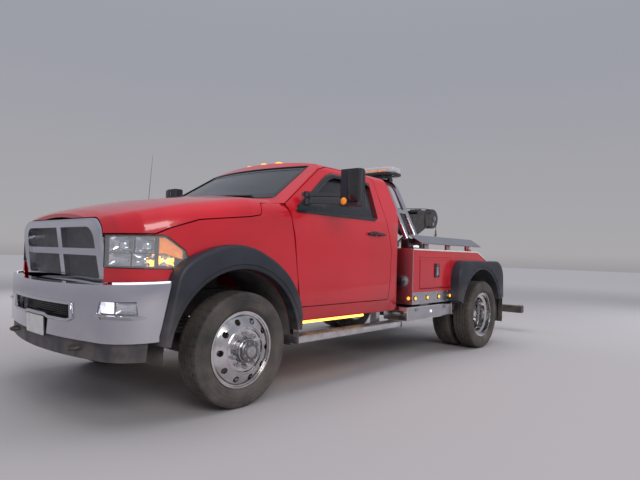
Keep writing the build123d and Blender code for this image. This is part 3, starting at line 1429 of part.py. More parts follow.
with BuildPart() as claw_left:
    half = claw_thickness / 2
    column([(claw_set - half, claw_hinge_y), (claw_set - half, claw_hinge_y - claw_length),
            (claw_set, claw_hinge_y - claw_length - 20), (claw_set + half, claw_hinge_y - claw_length),
            (claw_set + half, claw_hinge_y)], claw_bottom, claw_top)
    with BuildSketch(Plane.XY.offset(claw_bottom)) as end:
        with Locations((back(claw_set), claw_hinge_y)):
            Circle(half)
    extrude(end.sketch, amount=claw_height, dir=(0, 0, 1))
    with BuildSketch(Plane.XY.offset(claw_bottom)) as bore:
        with Locations((back(claw_set), claw_hinge_y)):
            Circle(claw_pin + pin_gap)
    extrude(bore.sketch, amount=claw_height, dir=(0, 0, 1), mode=Mode.SUBTRACT)
claw_left.part.label = "claw_left"
export_step(claw_left.part, "parts/claw_left.step")
with BuildPart() as claw_right:
    mirror(claw_left.part, about=Plane.XZ)
claw_right.part.label = "claw_right"
export_step(claw_right.part, "parts/claw_right.step")

tilt_base = Vector(back(tilt_base_set), 0, tilt_base_height)
tilt_eye = Vector(back(lift_pivot_set - horn_ahead), 0, lift_pivot_height + horn_rise)
tilt_plane = cylinder_plane(tilt_base, tilt_eye)
tilt_length = (tilt_eye - tilt_base).length
with BuildPart() as tilt_ram_barrel:
    cylinder_barrel(tilt_plane, tilt_barrel, tilt_barrel_length, 16, 36)
    with BuildSketch(Plane(origin=tilt_base + tilt_plane.x_dir * 40, z_dir=tilt_plane.x_dir)) as bore:
        Circle(tilt_rod + pin_gap)
    extrude(bore.sketch, amount=tilt_barrel_length, dir=tilt_plane.x_dir, mode=Mode.SUBTRACT)
tilt_ram_barrel.part.label = "tilt_ram_barrel"
export_step(tilt_ram_barrel.part, "parts/tilt_ram_barrel.step")

with BuildPart() as tilt_ram_rod:
    cylinder_rod(tilt_plane, tilt_rod, 215, tilt_length, 28, 25)
tilt_ram_rod.part.label = "tilt_ram_rod"
export_step(tilt_ram_rod.part, "parts/tilt_ram_rod.step")
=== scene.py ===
from math import asin, atan2, cos, hypot, pi, radians, sin, sqrt
import bpy, bmesh
from mathutils import Matrix, Vector


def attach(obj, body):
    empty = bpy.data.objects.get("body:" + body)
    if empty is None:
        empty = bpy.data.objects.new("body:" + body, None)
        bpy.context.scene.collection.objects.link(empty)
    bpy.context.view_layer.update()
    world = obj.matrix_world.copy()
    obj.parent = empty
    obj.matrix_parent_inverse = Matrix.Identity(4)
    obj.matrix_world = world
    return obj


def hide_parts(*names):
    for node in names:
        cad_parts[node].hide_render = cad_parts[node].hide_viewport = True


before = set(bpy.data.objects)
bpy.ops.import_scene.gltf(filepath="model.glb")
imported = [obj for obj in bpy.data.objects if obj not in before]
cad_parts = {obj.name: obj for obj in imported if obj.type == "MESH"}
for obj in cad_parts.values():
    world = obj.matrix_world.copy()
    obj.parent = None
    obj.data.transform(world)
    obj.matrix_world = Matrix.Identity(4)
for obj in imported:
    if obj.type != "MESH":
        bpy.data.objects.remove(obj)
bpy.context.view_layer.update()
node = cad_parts
scn = bpy.context.scene

# Shared places. d is millimetres behind the front axle, y across and z up; points come out in metres.

AXLE_X = 2275            # the front axle's X
REAR = 3670              # the rear axle's d
AXLE_Z = 404.5           # axle height
TYRE_R, TYRE_W = 0.4045, 0.226
FRONT_TRACK, REAR_OUTER, REAR_INNER = 0.9525, 1.1015, 0.8265      # middle of each tyre, in metres
ARCH_D = -30             # middle of the front wheel arch
SIDES = (("left", 1), ("right", -1))
TINY = 1e-5              # radius at which a turned form closes on its axis
HEX = ((0, 1, 3, 2), (4, 6, 7, 5), (0, 4, 5, 1), (2, 3, 7, 6), (1, 5, 7, 3), (0, 2, 6, 4))


def back(d):
    return (AXLE_X - d) / 1000


def P(d, y, z):
    return ((AXLE_X - d) / 1000, y / 1000, z / 1000)


def lerp(a, b, t):
    return a + (b - a) * t


def table(rows, x):
    """Value at x of a table of (x, value) rows in rising x."""
    for (a, va), (b, vb) in zip(rows, rows[1:]):
        if x <= b:
            return lerp(va, vb, (x - a) / (b - a))
    return rows[-1][1]


def along(points, count):
    """Evenly spaced points on a polyline."""
    run = [0.0]
    for a, b in zip(points, points[1:]):
        run.append(run[-1] + (Vector(b) - Vector(a)).length)
    out = []
    for k in range(count):
        s = run[-1] * k / (count - 1)
        i = min(max(j for j in range(len(run)) if run[j] <= s + 1e-9), len(points) - 2)
        t = (s - run[i]) / max(run[i + 1] - run[i], 1e-9)
        out.append(tuple(Vector(points[i]).lerp(Vector(points[i + 1]), t)))
    return out


def rounded(points, radius, n=6):
    """A polyline with its corners rounded; points are tuples of any length."""
    out = [tuple(Vector(points[0]))]
    for q, p, r in zip(points, points[1:], points[2:]):
        p = Vector(p)
        a, b = Vector(q) - p, Vector(r) - p
        cut = min(radius, a.length * 0.49, b.length * 0.49)
        s, e = p + a.normalized() * cut, p + b.normalized() * cut
        out += [((1 - t) ** 2 * s + 2 * t * (1 - t) * p + t * t * e)[:] for t in (j / n for j in range(n + 1))]
    return out + [tuple(Vector(points[-1]))]


# Materials

def set_inputs(n, **values):
    for key, value in values.items():
        n.inputs[key].default_value = value


def material(name, color, rough=0.5, metal=0.0, coat=0.0, coat_rough=0.05, tint=None, bump=None, rough_var=None,
             dirt=None, glow=None, trans=0.0, ior=1.5, alpha=1.0, scratch=None):
    """One surface: tint (colour, scale, detail), bump (strength, scale, distance), dirt (colour, the heights where it
    is thickest and gone, its most), glow (colour, strength) and a coat; scratch stretches the bump."""
    m = bpy.data.materials.new(name)
    m.use_nodes = True
    nodes, links = m.node_tree.nodes, m.node_tree.links
    b = nodes["Principled BSDF"]
    set_inputs(b, Roughness=rough, Metallic=metal, IOR=ior, Alpha=alpha, **{
        "Base Color": (*color, 1), "Coat Weight": coat, "Coat Roughness": coat_rough, "Transmission Weight": trans})
    if glow:
        set_inputs(b, **{"Emission Color": (*glow[0], 1), "Emission Strength": glow[1]})
    co = nodes.new("ShaderNodeTexCoord").outputs["Object"]

    def noise(scale, detail=3.0, stretch=None):
        n = nodes.new("ShaderNodeTexNoise")
        set_inputs(n, Scale=scale, Detail=detail)
        source = co
        if stretch:
            mp = nodes.new("ShaderNodeMapping")
            mp.inputs["Scale"].default_value = stretch
            links.new(co, mp.inputs["Vector"])
            source = mp.outputs["Vector"]
        links.new(source, n.inputs["Vector"])
        return n.outputs["Fac"]

    def ramp(fac, stops):
        r = nodes.new("ShaderNodeValToRGB")
        for el, (pos, grey) in zip(r.color_ramp.elements, stops):
            el.position, el.color = pos, (grey, grey, grey, 1)
        links.new(fac, r.inputs["Fac"])
        return r.outputs["Color"]

    def mixed(fac, a, c):
        x = nodes.new("ShaderNodeMix")
        x.data_type = "RGBA"
        links.new(fac, x.inputs["Factor"])
        for sock, v in ((x.inputs["A"], a), (x.inputs["B"], c)):
            if isinstance(v, tuple):
                sock.default_value = (*v, 1)
            else:
                links.new(v, sock)
        return x.outputs["Result"]

    col = color
    if tint:
        other, scale, detail = (*tint, 4.0)[:3]
        col = mixed(ramp(noise(scale, detail), [(0.35, 0), (0.7, 1)]), color, other)
    if dirt:
        dust, low, high, most = dirt
        sep = nodes.new("ShaderNodeSeparateXYZ")
        links.new(co, sep.inputs[0])
        mr = nodes.new("ShaderNodeMapRange")
        set_inputs(mr, **{"From Min": low, "From Max": high, "To Min": most, "To Max": 0.0})
        links.new(sep.outputs["Z"], mr.inputs["Value"])
        mul = nodes.new("ShaderNodeMath")
        mul.operation = "MULTIPLY"
        links.new(mr.outputs["Result"], mul.inputs[0])
        links.new(ramp(noise(7.0, 6.0), [(0.35, 0.15), (0.7, 1)]), mul.inputs[1])
        col = mixed(mul.outputs[0], col, dust)
    if not isinstance(col, tuple):
        links.new(col, b.inputs["Base Color"])
    if rough_var:
        mr = nodes.new("ShaderNodeMapRange")
        set_inputs(mr, **{"To Min": rough - rough_var, "To Max": rough + rough_var})
        links.new(noise(tint[1] * 2.3, 5.0), mr.inputs["Value"])
        links.new(mr.outputs["Result"], b.inputs["Roughness"])
    if bump:
        bp = nodes.new("ShaderNodeBump")
        strength, scale, distance = (*bump, 0.001)[:3]
        set_inputs(bp, Strength=strength, Distance=distance)
        links.new(noise(scale, 4.0, scratch), bp.inputs["Height"])
        links.new(bp.outputs["Normal"], b.inputs["Normal"])
    return m


DUST = (0.33, 0.27, 0.24)
M = {
    "paint": material("paint_red", (0.54, 0.004, 0.016), rough=0.28, coat=0.7, coat_rough=0.04,
        tint=((0.46, 0.004, 0.013), 1.6), bump=(0.02, 900), dirt=((0.3, 0.1, 0.09), 0.45, 1.15, 0.14)),
    "chrome": material("chrome_plate", (0.66, 0.66, 0.71), rough=0.06, metal=1.0, rough_var=0.02,
        tint=((0.6, 0.6, 0.66), 3), dirt=(DUST, 0.3, 0.85, 0.35)),
    "alloy": material("polished_alloy", (0.8, 0.8, 0.82), rough=0.16, metal=1.0, rough_var=0.07,
        tint=((0.62, 0.6, 0.6), 14), bump=(0.1, 260, 0.0004), dirt=(DUST, 0.0, 1.3, 0.42)),
    "steel": material("stainless_sheet", (0.56, 0.57, 0.6), rough=0.26, metal=1.0, rough_var=0.04, scratch=(1, 1, 26),
        tint=((0.51, 0.51, 0.54), 2.5), bump=(0.02, 60, 0.0003), dirt=(DUST, 0.35, 0.9, 0.35)),
    "frame": material("frame_black", (0.02, 0.02, 0.023), rough=0.45, rough_var=0.12, tint=((0.045, 0.04, 0.036), 9),
        bump=(0.25, 160, 0.0006), dirt=((0.16, 0.13, 0.11), 0.25, 0.95, 0.75)),
    "boomblack": material("boom_black", (0.016, 0.016, 0.018), rough=0.34, rough_var=0.1, coat=0.3,
        tint=((0.05, 0.045, 0.04), 11), bump=(0.2, 140, 0.0005)),
    "plastic": material("moulded_plastic", (0.016, 0.019, 0.028), rough=0.5, rough_var=0.08,
        tint=((0.026, 0.029, 0.04), 4), bump=(0.35, 420, 0.0004), dirt=(DUST, 0.45, 0.8, 0.4)),
    "blackgloss": material("black_trim", (0.008, 0.008, 0.01), rough=0.18, rough_var=0.06, coat=0.5,
        tint=((0.014, 0.014, 0.016), 6.0), bump=(0.03, 500)),
    "rubber": material("sheet_rubber", (0.022, 0.021, 0.021), rough=0.75, tint=((0.06, 0.052, 0.047), 8),
        bump=(0.3, 240), dirt=(DUST, 0.1, 0.8, 0.5)),
    "tyre": material("tyre_rubber", (0.022, 0.022, 0.023), rough=0.78, rough_var=0.1,
        tint=((0.085, 0.072, 0.064), 5, 7), bump=(0.3, 300, 0.0006), dirt=((0.15, 0.125, 0.11), -0.1, 1.0, 0.75)),
    "glass": material("tinted_glass", (0.03, 0.034, 0.04), rough=0.02, coat=0.6, alpha=0.5,
        tint=((0.022, 0.026, 0.03), 2)),
    "screen": material("windshield_glass", (0.05, 0.06, 0.07), rough=0.02, coat=0.8, alpha=0.62,
        tint=((0.04, 0.05, 0.06), 2)),
    "lens": material("clear_lens", (0.92, 0.94, 0.96), rough=0.03, coat=0.5, trans=0.95, ior=1.35, bump=(0.04, 60)),
    "clear": material("clear_cover", (0.9, 0.92, 0.95), rough=0.03, coat=1.0, alpha=0.22, tint=((0.8, 0.84, 0.9), 4)),
    # The reflector's faint glow is painted light: a painted glow that brightens the metal bowls. It also shows on the
    # unlit fog lamp and the light bar heads.
    "reflector": material("lamp_reflector_painted_glow", (0.66, 0.66, 0.7), rough=0.15, metal=1.0, tint=((0.52, 0.52, 0.57), 30),
        bump=(0.12, 90), glow=((1.0, 0.96, 0.94), 0.03)),
    "mirror": material("mirror_glass", (0.72, 0.75, 0.8), rough=0.03, metal=1.0, tint=((0.66, 0.7, 0.76), 4)),
    "rope": material("wire_rope", (0.38, 0.38, 0.4), rough=0.45, metal=0.9, tint=((0.22, 0.2, 0.19), 60),
        bump=(0.8, 500)),
    "hose": material("hydraulic_hose", (0.014, 0.014, 0.015), rough_var=0.1, tint=((0.035, 0.033, 0.03), 25),
        bump=(0.2, 600)),
    "trim": material("cab_trim", (0.075, 0.075, 0.082), rough=0.7, tint=((0.11, 0.11, 0.115), 20), bump=(0.3, 700)),
    "fabric": material("seat_cloth", (0.055, 0.055, 0.06), rough=0.9, tint=((0.09, 0.09, 0.095), 60), bump=(0.6, 900)),
    "iron": material("cast_iron", (0.12, 0.12, 0.125), rough=0.65, tint=((0.2, 0.15, 0.12), 14), bump=(0.5, 120, 0.002),
        dirt=(DUST, 0.3, 1.1, 0.4)),
    "bolt": material("zinc_bolt", (0.62, 0.62, 0.64), rough=0.3, metal=1.0, rough_var=0.1, tint=((0.42, 0.4, 0.38), 40),
        bump=(0.1, 300)),
    "amber": material("amber_lit", (1.0, 0.38, 0.02), rough=0.25, coat=0.6, tint=((1.0, 0.5, 0.1), 30),
        glow=((1.0, 0.36, 0.03), 1.6)),
    "glow": material("amber_tube", (1.0, 0.45, 0.05), rough=0.3, tint=((1.0, 0.6, 0.1), 20),
        glow=((1.0, 0.5, 0.07), 4.0)),
    "white": material("white_lit", (0.95, 0.96, 1.0), rough=0.3, tint=((0.85, 0.88, 1.0), 40),
        glow=((0.93, 0.93, 1.0), 0.75)),
    "redlens": material("red_lens", (0.5, 0.006, 0.012), rough=0.15, coat=0.9, tint=((0.38, 0.004, 0.008), 50),
        bump=(0.25, 150), glow=((0.7, 0.01, 0.01), 0.25)),
    "amberlens": material("amber_lens", (0.85, 0.26, 0.02), rough=0.15, coat=0.9, tint=((0.7, 0.2, 0.02), 50),
        bump=(0.25, 150), glow=((0.9, 0.3, 0.02), 0.35)),
    "plate": material("blank_plate", (0.8, 0.8, 0.78), rough=0.35, tint=((0.72, 0.71, 0.68), 12), bump=(0.05, 200)),
    "lattice": material("grille_grey", (0.2, 0.2, 0.215), rough=0.35, metal=0.5, tint=((0.15, 0.15, 0.16), 20),
        bump=(0.05, 300)),
    "pale": material("pale_trim", (0.78, 0.74, 0.72), rough=0.4, tint=((0.68, 0.63, 0.6), 20), bump=(0.05, 300)),
    "iron_hub": material("hub_grey", (0.26, 0.26, 0.28), rough=0.38, metal=0.8, rough_var=0.1,
        tint=((0.16, 0.15, 0.15), 20), bump=(0.3, 180)),
}
NODE_MATERIAL = {
    "paint": "cab_shell door_left door_right hood front_fenders body_sides tool_door_left tool_door_right",
    "glass": "door_glass_left door_glass_right",
    "screen": "cab_glass",
    "chrome": "bumper grille_frame tube_arch",
    "lens": "headlamps",
    "clear": "light_bar",
    "plastic": "flares mirror_left mirror_right dashboard valance",
    "blackgloss": "grille_mesh steering_wheel",
    "rubber": "mudflaps",
    "fabric": "bench_seat",
    "steel": "steel_panels side_rails running_boards",
    "bolt": "boom_ram_rod tilt_ram_rod",
    "tyre": "tyre_front_left tyre_front_right tyres_rear_left tyres_rear_right",
    "alloy": "rim_front_left rim_front_right rims_rear_left rims_rear_right",
    "iron": "power_unit",
    "amber": "small_lamps",
    "boomblack": "boom_mast boom_outer boom_slide boom_ram_barrel winch_drum",
    "frame": "axles springs chassis_frame cross_members core_support knuckle_left knuckle_right fuel_tank tow_deck "
             "lift_arm lift_slide crossbar claw_left claw_right tilt_ram_barrel",
}
for key, names in NODE_MATERIAL.items():
    for n in names.split():
        node[n].data.materials.clear()
        node[n].data.materials.append(M[key])


# The pressed sheet metal and moulded pieces shade smoothly across their shallow edges

def smooth_group(angle):
    g = bpy.data.node_groups.new("smooth_by_angle", "GeometryNodeTree")
    for way in ("INPUT", "OUTPUT"):
        g.interface.new_socket("Geometry", in_out=way, socket_type="NodeSocketGeometry")
    n, l = g.nodes, g.links
    src, dst = n.new("NodeGroupInput"), n.new("NodeGroupOutput")
    weld = n.new("GeometryNodeMergeByDistance")
    weld.inputs["Distance"].default_value = 1e-5
    faces_on = n.new("GeometryNodeSetShadeSmooth")
    faces_on.domain = "FACE"
    edges_on = n.new("GeometryNodeSetShadeSmooth")
    edges_on.domain = "EDGE"
    turn = n.new("GeometryNodeInputMeshEdgeAngle")
    less = n.new("FunctionNodeCompare")
    less.data_type, less.operation = "FLOAT", "LESS_THAN"
    less.inputs["B"].default_value = angle
    l.new(src.outputs[0], weld.inputs["Geometry"])
    l.new(weld.outputs["Geometry"], faces_on.inputs["Geometry"])
    l.new(faces_on.outputs["Geometry"], edges_on.inputs["Geometry"])
    l.new(turn.outputs["Unsigned Angle"], less.inputs["A"])
    l.new(less.outputs["Result"], edges_on.inputs["Shade Smooth"])
    l.new(edges_on.outputs["Geometry"], dst.inputs[0])
    return g


soft_edges = smooth_group(radians(30))
for n in "hood front_fenders cab_shell door_left door_right bumper valance mirror_left mirror_right tube_arch " \
         "grille_frame".split():
    node[n].modifiers.new("soft_edges", "NODES").node_group = soft_edges


# Mesh helpers

def piece(name, verts, faces, mat, body, smooth=False, replaces=()):
    """A mesh piece in metres that rides on a body; smooth is the sharpest edge, in degrees, that still looks round."""
    me = bpy.data.meshes.new(name)
    me.from_pydata([tuple(v) for v in verts], [], [tuple(f) for f in faces])
    bm = bmesh.new()
    bm.from_mesh(me)
    bmesh.ops.remove_doubles(bm, verts=bm.verts, dist=1e-6)
    bmesh.ops.recalc_face_normals(bm, faces=bm.faces)
    bm.to_mesh(me)
    bm.free()
    ob = bpy.data.objects.new(name, me)
    scn.collection.objects.link(ob)
    me.materials.append(M[mat])
    if smooth:
        me.shade_smooth()
        if smooth != "all":
            me.set_sharp_from_angle(angle=radians(smooth))
    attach(ob, body)
    if replaces:
        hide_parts(*replaces)
    return ob


def thicken(ob, thickness, offset=-1):
    md = ob.modifiers.new("thick", "SOLIDIFY")
    md.thickness, md.offset = thickness, offset


class Mesh:
    """Collects verts and faces for one piece."""

    def __init__(self):
        self.v, self.f = [], []

    def add(self, verts, faces):
        n = len(self.v)
        self.v += [tuple(map(float, p)) for p in verts]
        self.f += [tuple(i + n for i in f) for f in faces]
        return self

    def take(self, bm):
        bm.verts.index_update()
        self.add([p.co[:] for p in bm.verts], [[p.index for p in f.verts] for f in bm.faces])
        bm.free()
        return self

    def box(self, x0, x1, y0, y1, z0, z1, bevel=0.0):
        a = [min(x0, x1), min(y0, y1), min(z0, z1)]
        c = [max(x0, x1), max(y0, y1), max(z0, z1)]
        bm = bmesh.new()
        bmesh.ops.create_cube(bm, size=1.0)
        for p in bm.verts:
            p.co = Vector([a[i] + (p.co[i] + 0.5) * (c[i] - a[i]) for i in range(3)])
        if bevel:
            bmesh.ops.bevel(bm, geom=bm.edges[:], offset=bevel, segments=2, affect="EDGES", profile=0.5)
        return self.take(bm)

    def bar(self, d0, d1, y0, y1, z0, z1, bevel=0.0):
        """A box in millimetres."""
        return self.box(back(d0), back(d1), y0 / 1000, y1 / 1000, z0 / 1000, z1 / 1000, bevel)

    def prism(self, outline, axis, lo, hi, bevel=0.0, segments=2):
        """A 2-D outline (in the two other axes' order X, Y, Z) between lo and hi along an axis 0, 1 or 2."""
        bm = bmesh.new()
        rows = []
        for h in (lo, hi):
            rows.append([bm.verts.new([*p[:axis], h, *p[axis:]]) for p in map(tuple, outline)])
        n = len(outline)
        bm.faces.new(rows[0])
        bm.faces.new(rows[1][::-1])
        for i in range(n):
            bm.faces.new((rows[0][i], rows[1][i], rows[1][(i + 1) % n], rows[0][(i + 1) % n]))
        bmesh.ops.recalc_face_normals(bm, faces=bm.faces)
        if bevel:
            bmesh.ops.bevel(bm, geom=bm.edges[:], offset=bevel, segments=segments, affect="EDGES", profile=0.5)
        return self.take(bm)

    def lathe(self, profile, centre, axis, count=48, closed=True):
        """A (along, radius) profile turned about an axis through centre."""
        axis = Vector(axis).normalized()
        u = Vector((0, 0, 1)) if abs(axis.z) < 0.9 else Vector((1, 0, 0))
        u = (u - axis * u.dot(axis)).normalized()
        w = axis.cross(u)
        c = Vector(centre)
        n = len(profile)
        verts, faces = [], []
        for k in range(count):
            t = 2 * pi * k / count
            r = u * cos(t) + w * sin(t)
            verts += [(c + axis * a + r * q)[:] for a, q in profile]
            m = (k + 1) % count
            for i in range(n if closed else n - 1):
                j = (i + 1) % n
                faces.append((k * n + i, k * n + j, m * n + j, m * n + i))
        return self.add(verts, faces)

    def stud(self, centre, axis, count, top, *steps):
        """A turned solid: its (along, radius) steps, closed on the axis at its foot and at top."""
        return self.lathe([(steps[0][0], TINY), *steps, (top, TINY)], centre, axis, count)

    def dome(self, centre, axis, count, top, *steps):
        """A turned shell, open at its foot and closed at top."""
        return self.lathe([*steps, (top, TINY)], centre, axis, count, closed=False)

    def rod(self, a, b, radius, count=16):
        a, b = Vector(a), Vector(b)
        return self.stud(a, b - a, count, (b - a).length, (0, radius), ((b - a).length, radius))

    def tube(self, points, radius, count=12, closed=False):
        """A round tube along points, with frames carried from point to point."""
        pts = [Vector(p) for p in points]
        n = len(pts)
        tang = []
        for i in range(n):
            a = pts[(i - 1) % n] if closed or i else pts[0]
            b = pts[(i + 1) % n] if closed or i < n - 1 else pts[-1]
            tang.append((b - a).normalized())
        u = tang[0].orthogonal().normalized()
        verts, faces = [], []
        for i in range(n):
            u = (u - tang[i] * u.dot(tang[i])).normalized()
            w = tang[i].cross(u)
            r = radius[i] if isinstance(radius, (list, tuple)) else radius
            turns = [2 * pi * k / count for k in range(count)]
            verts += [(pts[i] + (u * cos(t) + w * sin(t)) * r)[:] for t in turns]
        for i in range(n if closed else n - 1):
            j = (i + 1) % n
            for k in range(count):
                m = (k + 1) % count
                faces.append((i * count + k, i * count + m, j * count + m, j * count + k))
        if not closed:
            faces.append(tuple(range(count))[::-1])
            faces.append(tuple((n - 1) * count + k for k in range(count)))
        return self.add(verts, faces)

    def sheet(self, grid):
        """A grid of points as quads."""
        rows, cols = len(grid), len(grid[0])
        return self.add([p for r in grid for p in r],
                        [(i * cols + j, i * cols + j + 1, (i + 1) * cols + j + 1, (i + 1) * cols + j)
                         for i in range(rows - 1) for j in range(cols - 1)])

    def mirrored(self):
        n = len(self.v)
        self.v += [(x, -y, z) for x, y, z in self.v]
        self.f += [tuple(i + n for i in f[::-1]) for f in self.f]
        return self

    def out(self, name, mat, smooth=False, body="chassis", replaces=()):
        return piece(name, self.v, self.f, mat, body, smooth, replaces)


# Tyres and wheel hubs

def tyre(name, y, x, body, replaced):
    """A road tyre about an axis along Y: sidewall rings, four grooves and blocks between sipes."""
    half = TYRE_W / 2
    mesh = Mesh()
    side = [(0.0765, 0.2488), (0.0765, 0.262), (0.082, 0.2715), (0.096, 0.279), (0.1045, 0.290), (0.1060, 0.2925),
            (0.1082, 0.2925), (0.1110, 0.306), (0.1128, 0.322), (0.1128, 0.334), (0.1118, 0.3365), (0.1125, 0.339),
            (0.1116, 0.352), (0.1098, 0.362), (0.1085, 0.3635), (0.1078, 0.374), (0.1035, 0.386), (0.0985, 0.3945),
            (0.0940, 0.3985)]
    tread = []
    for a, b in ((0.0900, 0.0560), (0.0480, 0.0225), (0.0145, -0.0145), (-0.0225, -0.0480), (-0.0560, -0.0900)):
        ra, rm, rb = [TYRE_R - 0.0052 * (w / half) ** 2 for w in (a, (a + b) / 2, b)]
        tread += [(a, ra - 0.013), (a, ra), ((a + b) / 2, rm), (b, rb), (b, rb - 0.013)]
    profile = side + tread[1:-1] + [(-a, r) for a, r in reversed(side)] + [(-0.07, 0.2486), (0.07, 0.2486)]
    count = 240
    n = len(profile)
    first, last = len(side), n - 2 - len(side)
    verts, faces = [], []
    for k in range(count):
        t = 2 * pi * k / count
        zig = 0.0022 * (1 if (k // 3) % 2 else -1)
        for i, (a, r) in enumerate(profile):
            if first < i < last - 1 and abs(a) < 0.085:
                a += zig
            if (first <= i < first + 3 or last - 3 <= i < last) and k % 6 == 0:
                r -= 0.0055
            if first + 3 <= i < last - 3 and k % 5 == 0 and profile[i][1] > TYRE_R - 0.006:
                r -= 0.0035
            if 14 <= (i if i < first else n - 3 - i) <= 17 and k % 6 == 0:
                r -= 0.004
                a *= 0.985
            verts.append((x + r * sin(t), y + a, TYRE_R + r * cos(t)))
        m = (k + 1) % count
        faces += [(k * n + i, k * n + (i + 1) % n, m * n + (i + 1) % n, m * n + i) for i in range(n)]
    mesh.add(verts, faces)
    # A band of fine radial ridges on each side wall
    for s in (1, -1):
        for k in range(96):
            t = 2 * pi * k / 96
            u, w = Vector((sin(t), 0, cos(t))), Vector((cos(t), 0, -sin(t)))
            mesh.add([(Vector((x, y, TYRE_R)) + u * r + w * wide + Vector((0, s * (yy + up), 0)))[:]
                      for r, yy in ((0.3440, 0.1119), (0.3570, 0.1102)) for wide in (-0.0011, 0.0011)
                      for up in (-0.0010, 0.0009)], HEX)
    mesh.out(name, "tyre", 32, body, (replaced,))


def hub_ring(mesh, x, y, out, circle, count, turn, top, *steps):
    """Studs on a circle round an axle, facing out along Y."""
    for k in range(count):
        t = 2 * pi * (k + turn) / count
        mesh.stud((x + circle * sin(t), y, TYRE_R + circle * cos(t)), (0, out, 0), 6, top, *steps)
    return mesh


def nuts(name, x, y, out, body):
    hub_ring(Mesh(), x, y, out, 0.1125, 10, 0, 0.040, (0, 0.0205), (0.003, 0.0205), (0.004, 0.0168), (0.024, 0.0168),
             (0.027, 0.0135), (0.027, 0.0075), (0.038, 0.0068), (0.040, 0.004)).out(name, "bolt", 25, body)


for tag, s in SIDES:
    tyre("tyre_front_" + tag + "_tread", s * FRONT_TRACK, back(0), "wheel_front_" + tag, "tyre_front_" + tag)
for tag, s in SIDES:
    for place, y in (("_outer", REAR_OUTER), ("_inner", REAR_INNER)):
        tyre("tyre_rear_" + tag + place, s * y, back(REAR), "wheels_rear_" + tag, "tyres_rear_" + tag)
for tag, s in SIDES:
    x, y, body = back(0), s * FRONT_TRACK, "wheel_front_" + tag
    face = y + s * 0.112
    nuts("lug_nuts_front_" + tag, x, face, s, body)
    hub = Mesh().dome((x, face, TYRE_R), (0, s, 0), 64, 0.071, (-0.01, 0.088), (0.012, 0.090), (0.018, 0.084),
                      (0.030, 0.083), (0.034, 0.078), (0.060, 0.076), (0.066, 0.070), (0.068, 0.045), (0.071, 0.043))
    hub.out("hub_cap_front_" + tag, "iron_hub", 30, body)
    cap = hub_ring(Mesh(), x, face + s * 0.067, s, 0.060, 8, 0.5, 0.007, (0, 0.0072), (0.006, 0.0072), (0.007, 0.006))
    cap.dome((x, face + s * 0.0705, TYRE_R), (0, s, 0), 48, 0.008, (0.0, 0.040), (0.005, 0.038), (0.007, 0.030))
    cap.out("hub_bolts_front_" + tag, "bolt", 25, body)
    stem = [(x + a, face + s * out, TYRE_R + up) for a, out, up in ((0.150, -0.045, 0.12), (0.172, -0.002, 0.142),
                                                                    (0.1755, 0.006, 0.1455))]
    Mesh().rod(*stem[:2], 0.0042, 10).rod(*stem[1:], 0.0056, 10).out("valve_front_" + tag, "bolt", 30, body)
for tag, s in SIDES:
    x, body = back(REAR), "wheels_rear_" + tag
    nuts("lug_nuts_rear_" + tag, x, s * 1.0015, s, body)
    hub_ring(Mesh(), x, s * REAR_OUTER, s, 0.052, 8, 0.5, 0.009, (0, 0.008), (0.008, 0.008),
             (0.009, 0.006)).out("hub_bolts_rear_" + tag, "bolt", 25, body)

# Grille: a diamond lattice in four panes

G0 = Vector(P(-757, 0, 850))
GN = Vector((1, 0, -0.145)).normalized()
GU = Vector((0.145, 0, 1)).normalized()


def on_grille(u, v, w):
    return (G0 + Vector((0, u / 1000, 0)) + GU * (v / 1000) + GN * (w / 1000))[:]


def clip(poly, a, b):
    """Part of a segment inside a convex polygon, as two parameters, or None."""
    t0, t1 = 0.0, 1.0
    dx, dy = b[0] - a[0], b[1] - a[1]
    for p, q in zip(poly, poly[1:] + poly[:1]):
        ex, ey = q[0] - p[0], q[1] - p[1]
        den = ex * dy - ey * dx
        num = ex * (a[1] - p[1]) - ey * (a[0] - p[0])
        if abs(den) < 1e-9:
            if num < 0:
                return None
            continue
        if den > 0:
            t0 = max(t0, -num / den)
        else:
            t1 = min(t1, -num / den)
        if t0 >= t1:
            return None
    return t0, t1


lattice = Mesh()
PITCH, HALF_LINE = 27, 3.4
for s in (1, -1):
    for v0, v1 in ((50, 201), (241, 392)):
        half = [lerp(600, 563, (v - 50) / 342) for v in (v0, v1)]
        poly = [(32, v0), (half[0], v0), (half[1], v1), (32, v1)]
        for slope in (1, -1):
            for k in range(-14, 40):
                a = (k * PITCH - 200, v0 - 20 if slope > 0 else v1 + 20)
                b = (a[0] + 420, a[1] + slope * 290)
                cut = clip(poly, a, b)
                if not cut:
                    continue
                e, f = [(lerp(a[0], b[0], t), lerp(a[1], b[1], t)) for t in cut]
                length = hypot(f[0] - e[0], f[1] - e[1])
                if length < 4:
                    continue
                nx, ny = -(f[1] - e[1]) / length * HALF_LINE, (f[0] - e[0]) / length * HALF_LINE
                lattice.add([on_grille(s * (q[0] + g * nx), q[1] + g * ny, w) for q in (e, f) for g in (1, -1)
                             for w in (0.5, 9.0 if slope > 0 else 7.0)], HEX)
lattice.out("grille_lattice", "lattice")

# Headlamps: clear outer lens, cells, bulbs and rim

lamp_top_line = [(-985, 1168), (-588, 1179), (-454, 1088), (-424, 1016)]
lamp_low_line = [(-985, 969), (-482, 969), (-424, 1012)]
lamp_stations = along([(-848, 688), (-800, 800), (-700, 912), (-560, 972), (-426, 990)], 41)


def lamp_point(u, v, inset):
    """A place in the lamp: u from the grille to the rear tip, v from its foot to its top, inset from the skin."""
    last = len(lamp_stations) - 1
    i = min(int(u * last), last - 1)
    p = Vector(lamp_stations[i]).lerp(Vector(lamp_stations[i + 1]), u * last - i)
    run = (Vector(lamp_stations[min(i + 3, last)]) - Vector(lamp_stations[max(i - 2, 0)])).normalized()
    q = p + Vector((run.y, -run.x)) * inset
    return P(q.x, q.y, lerp(table(lamp_low_line, p.x), table(lamp_top_line, p.x), v))


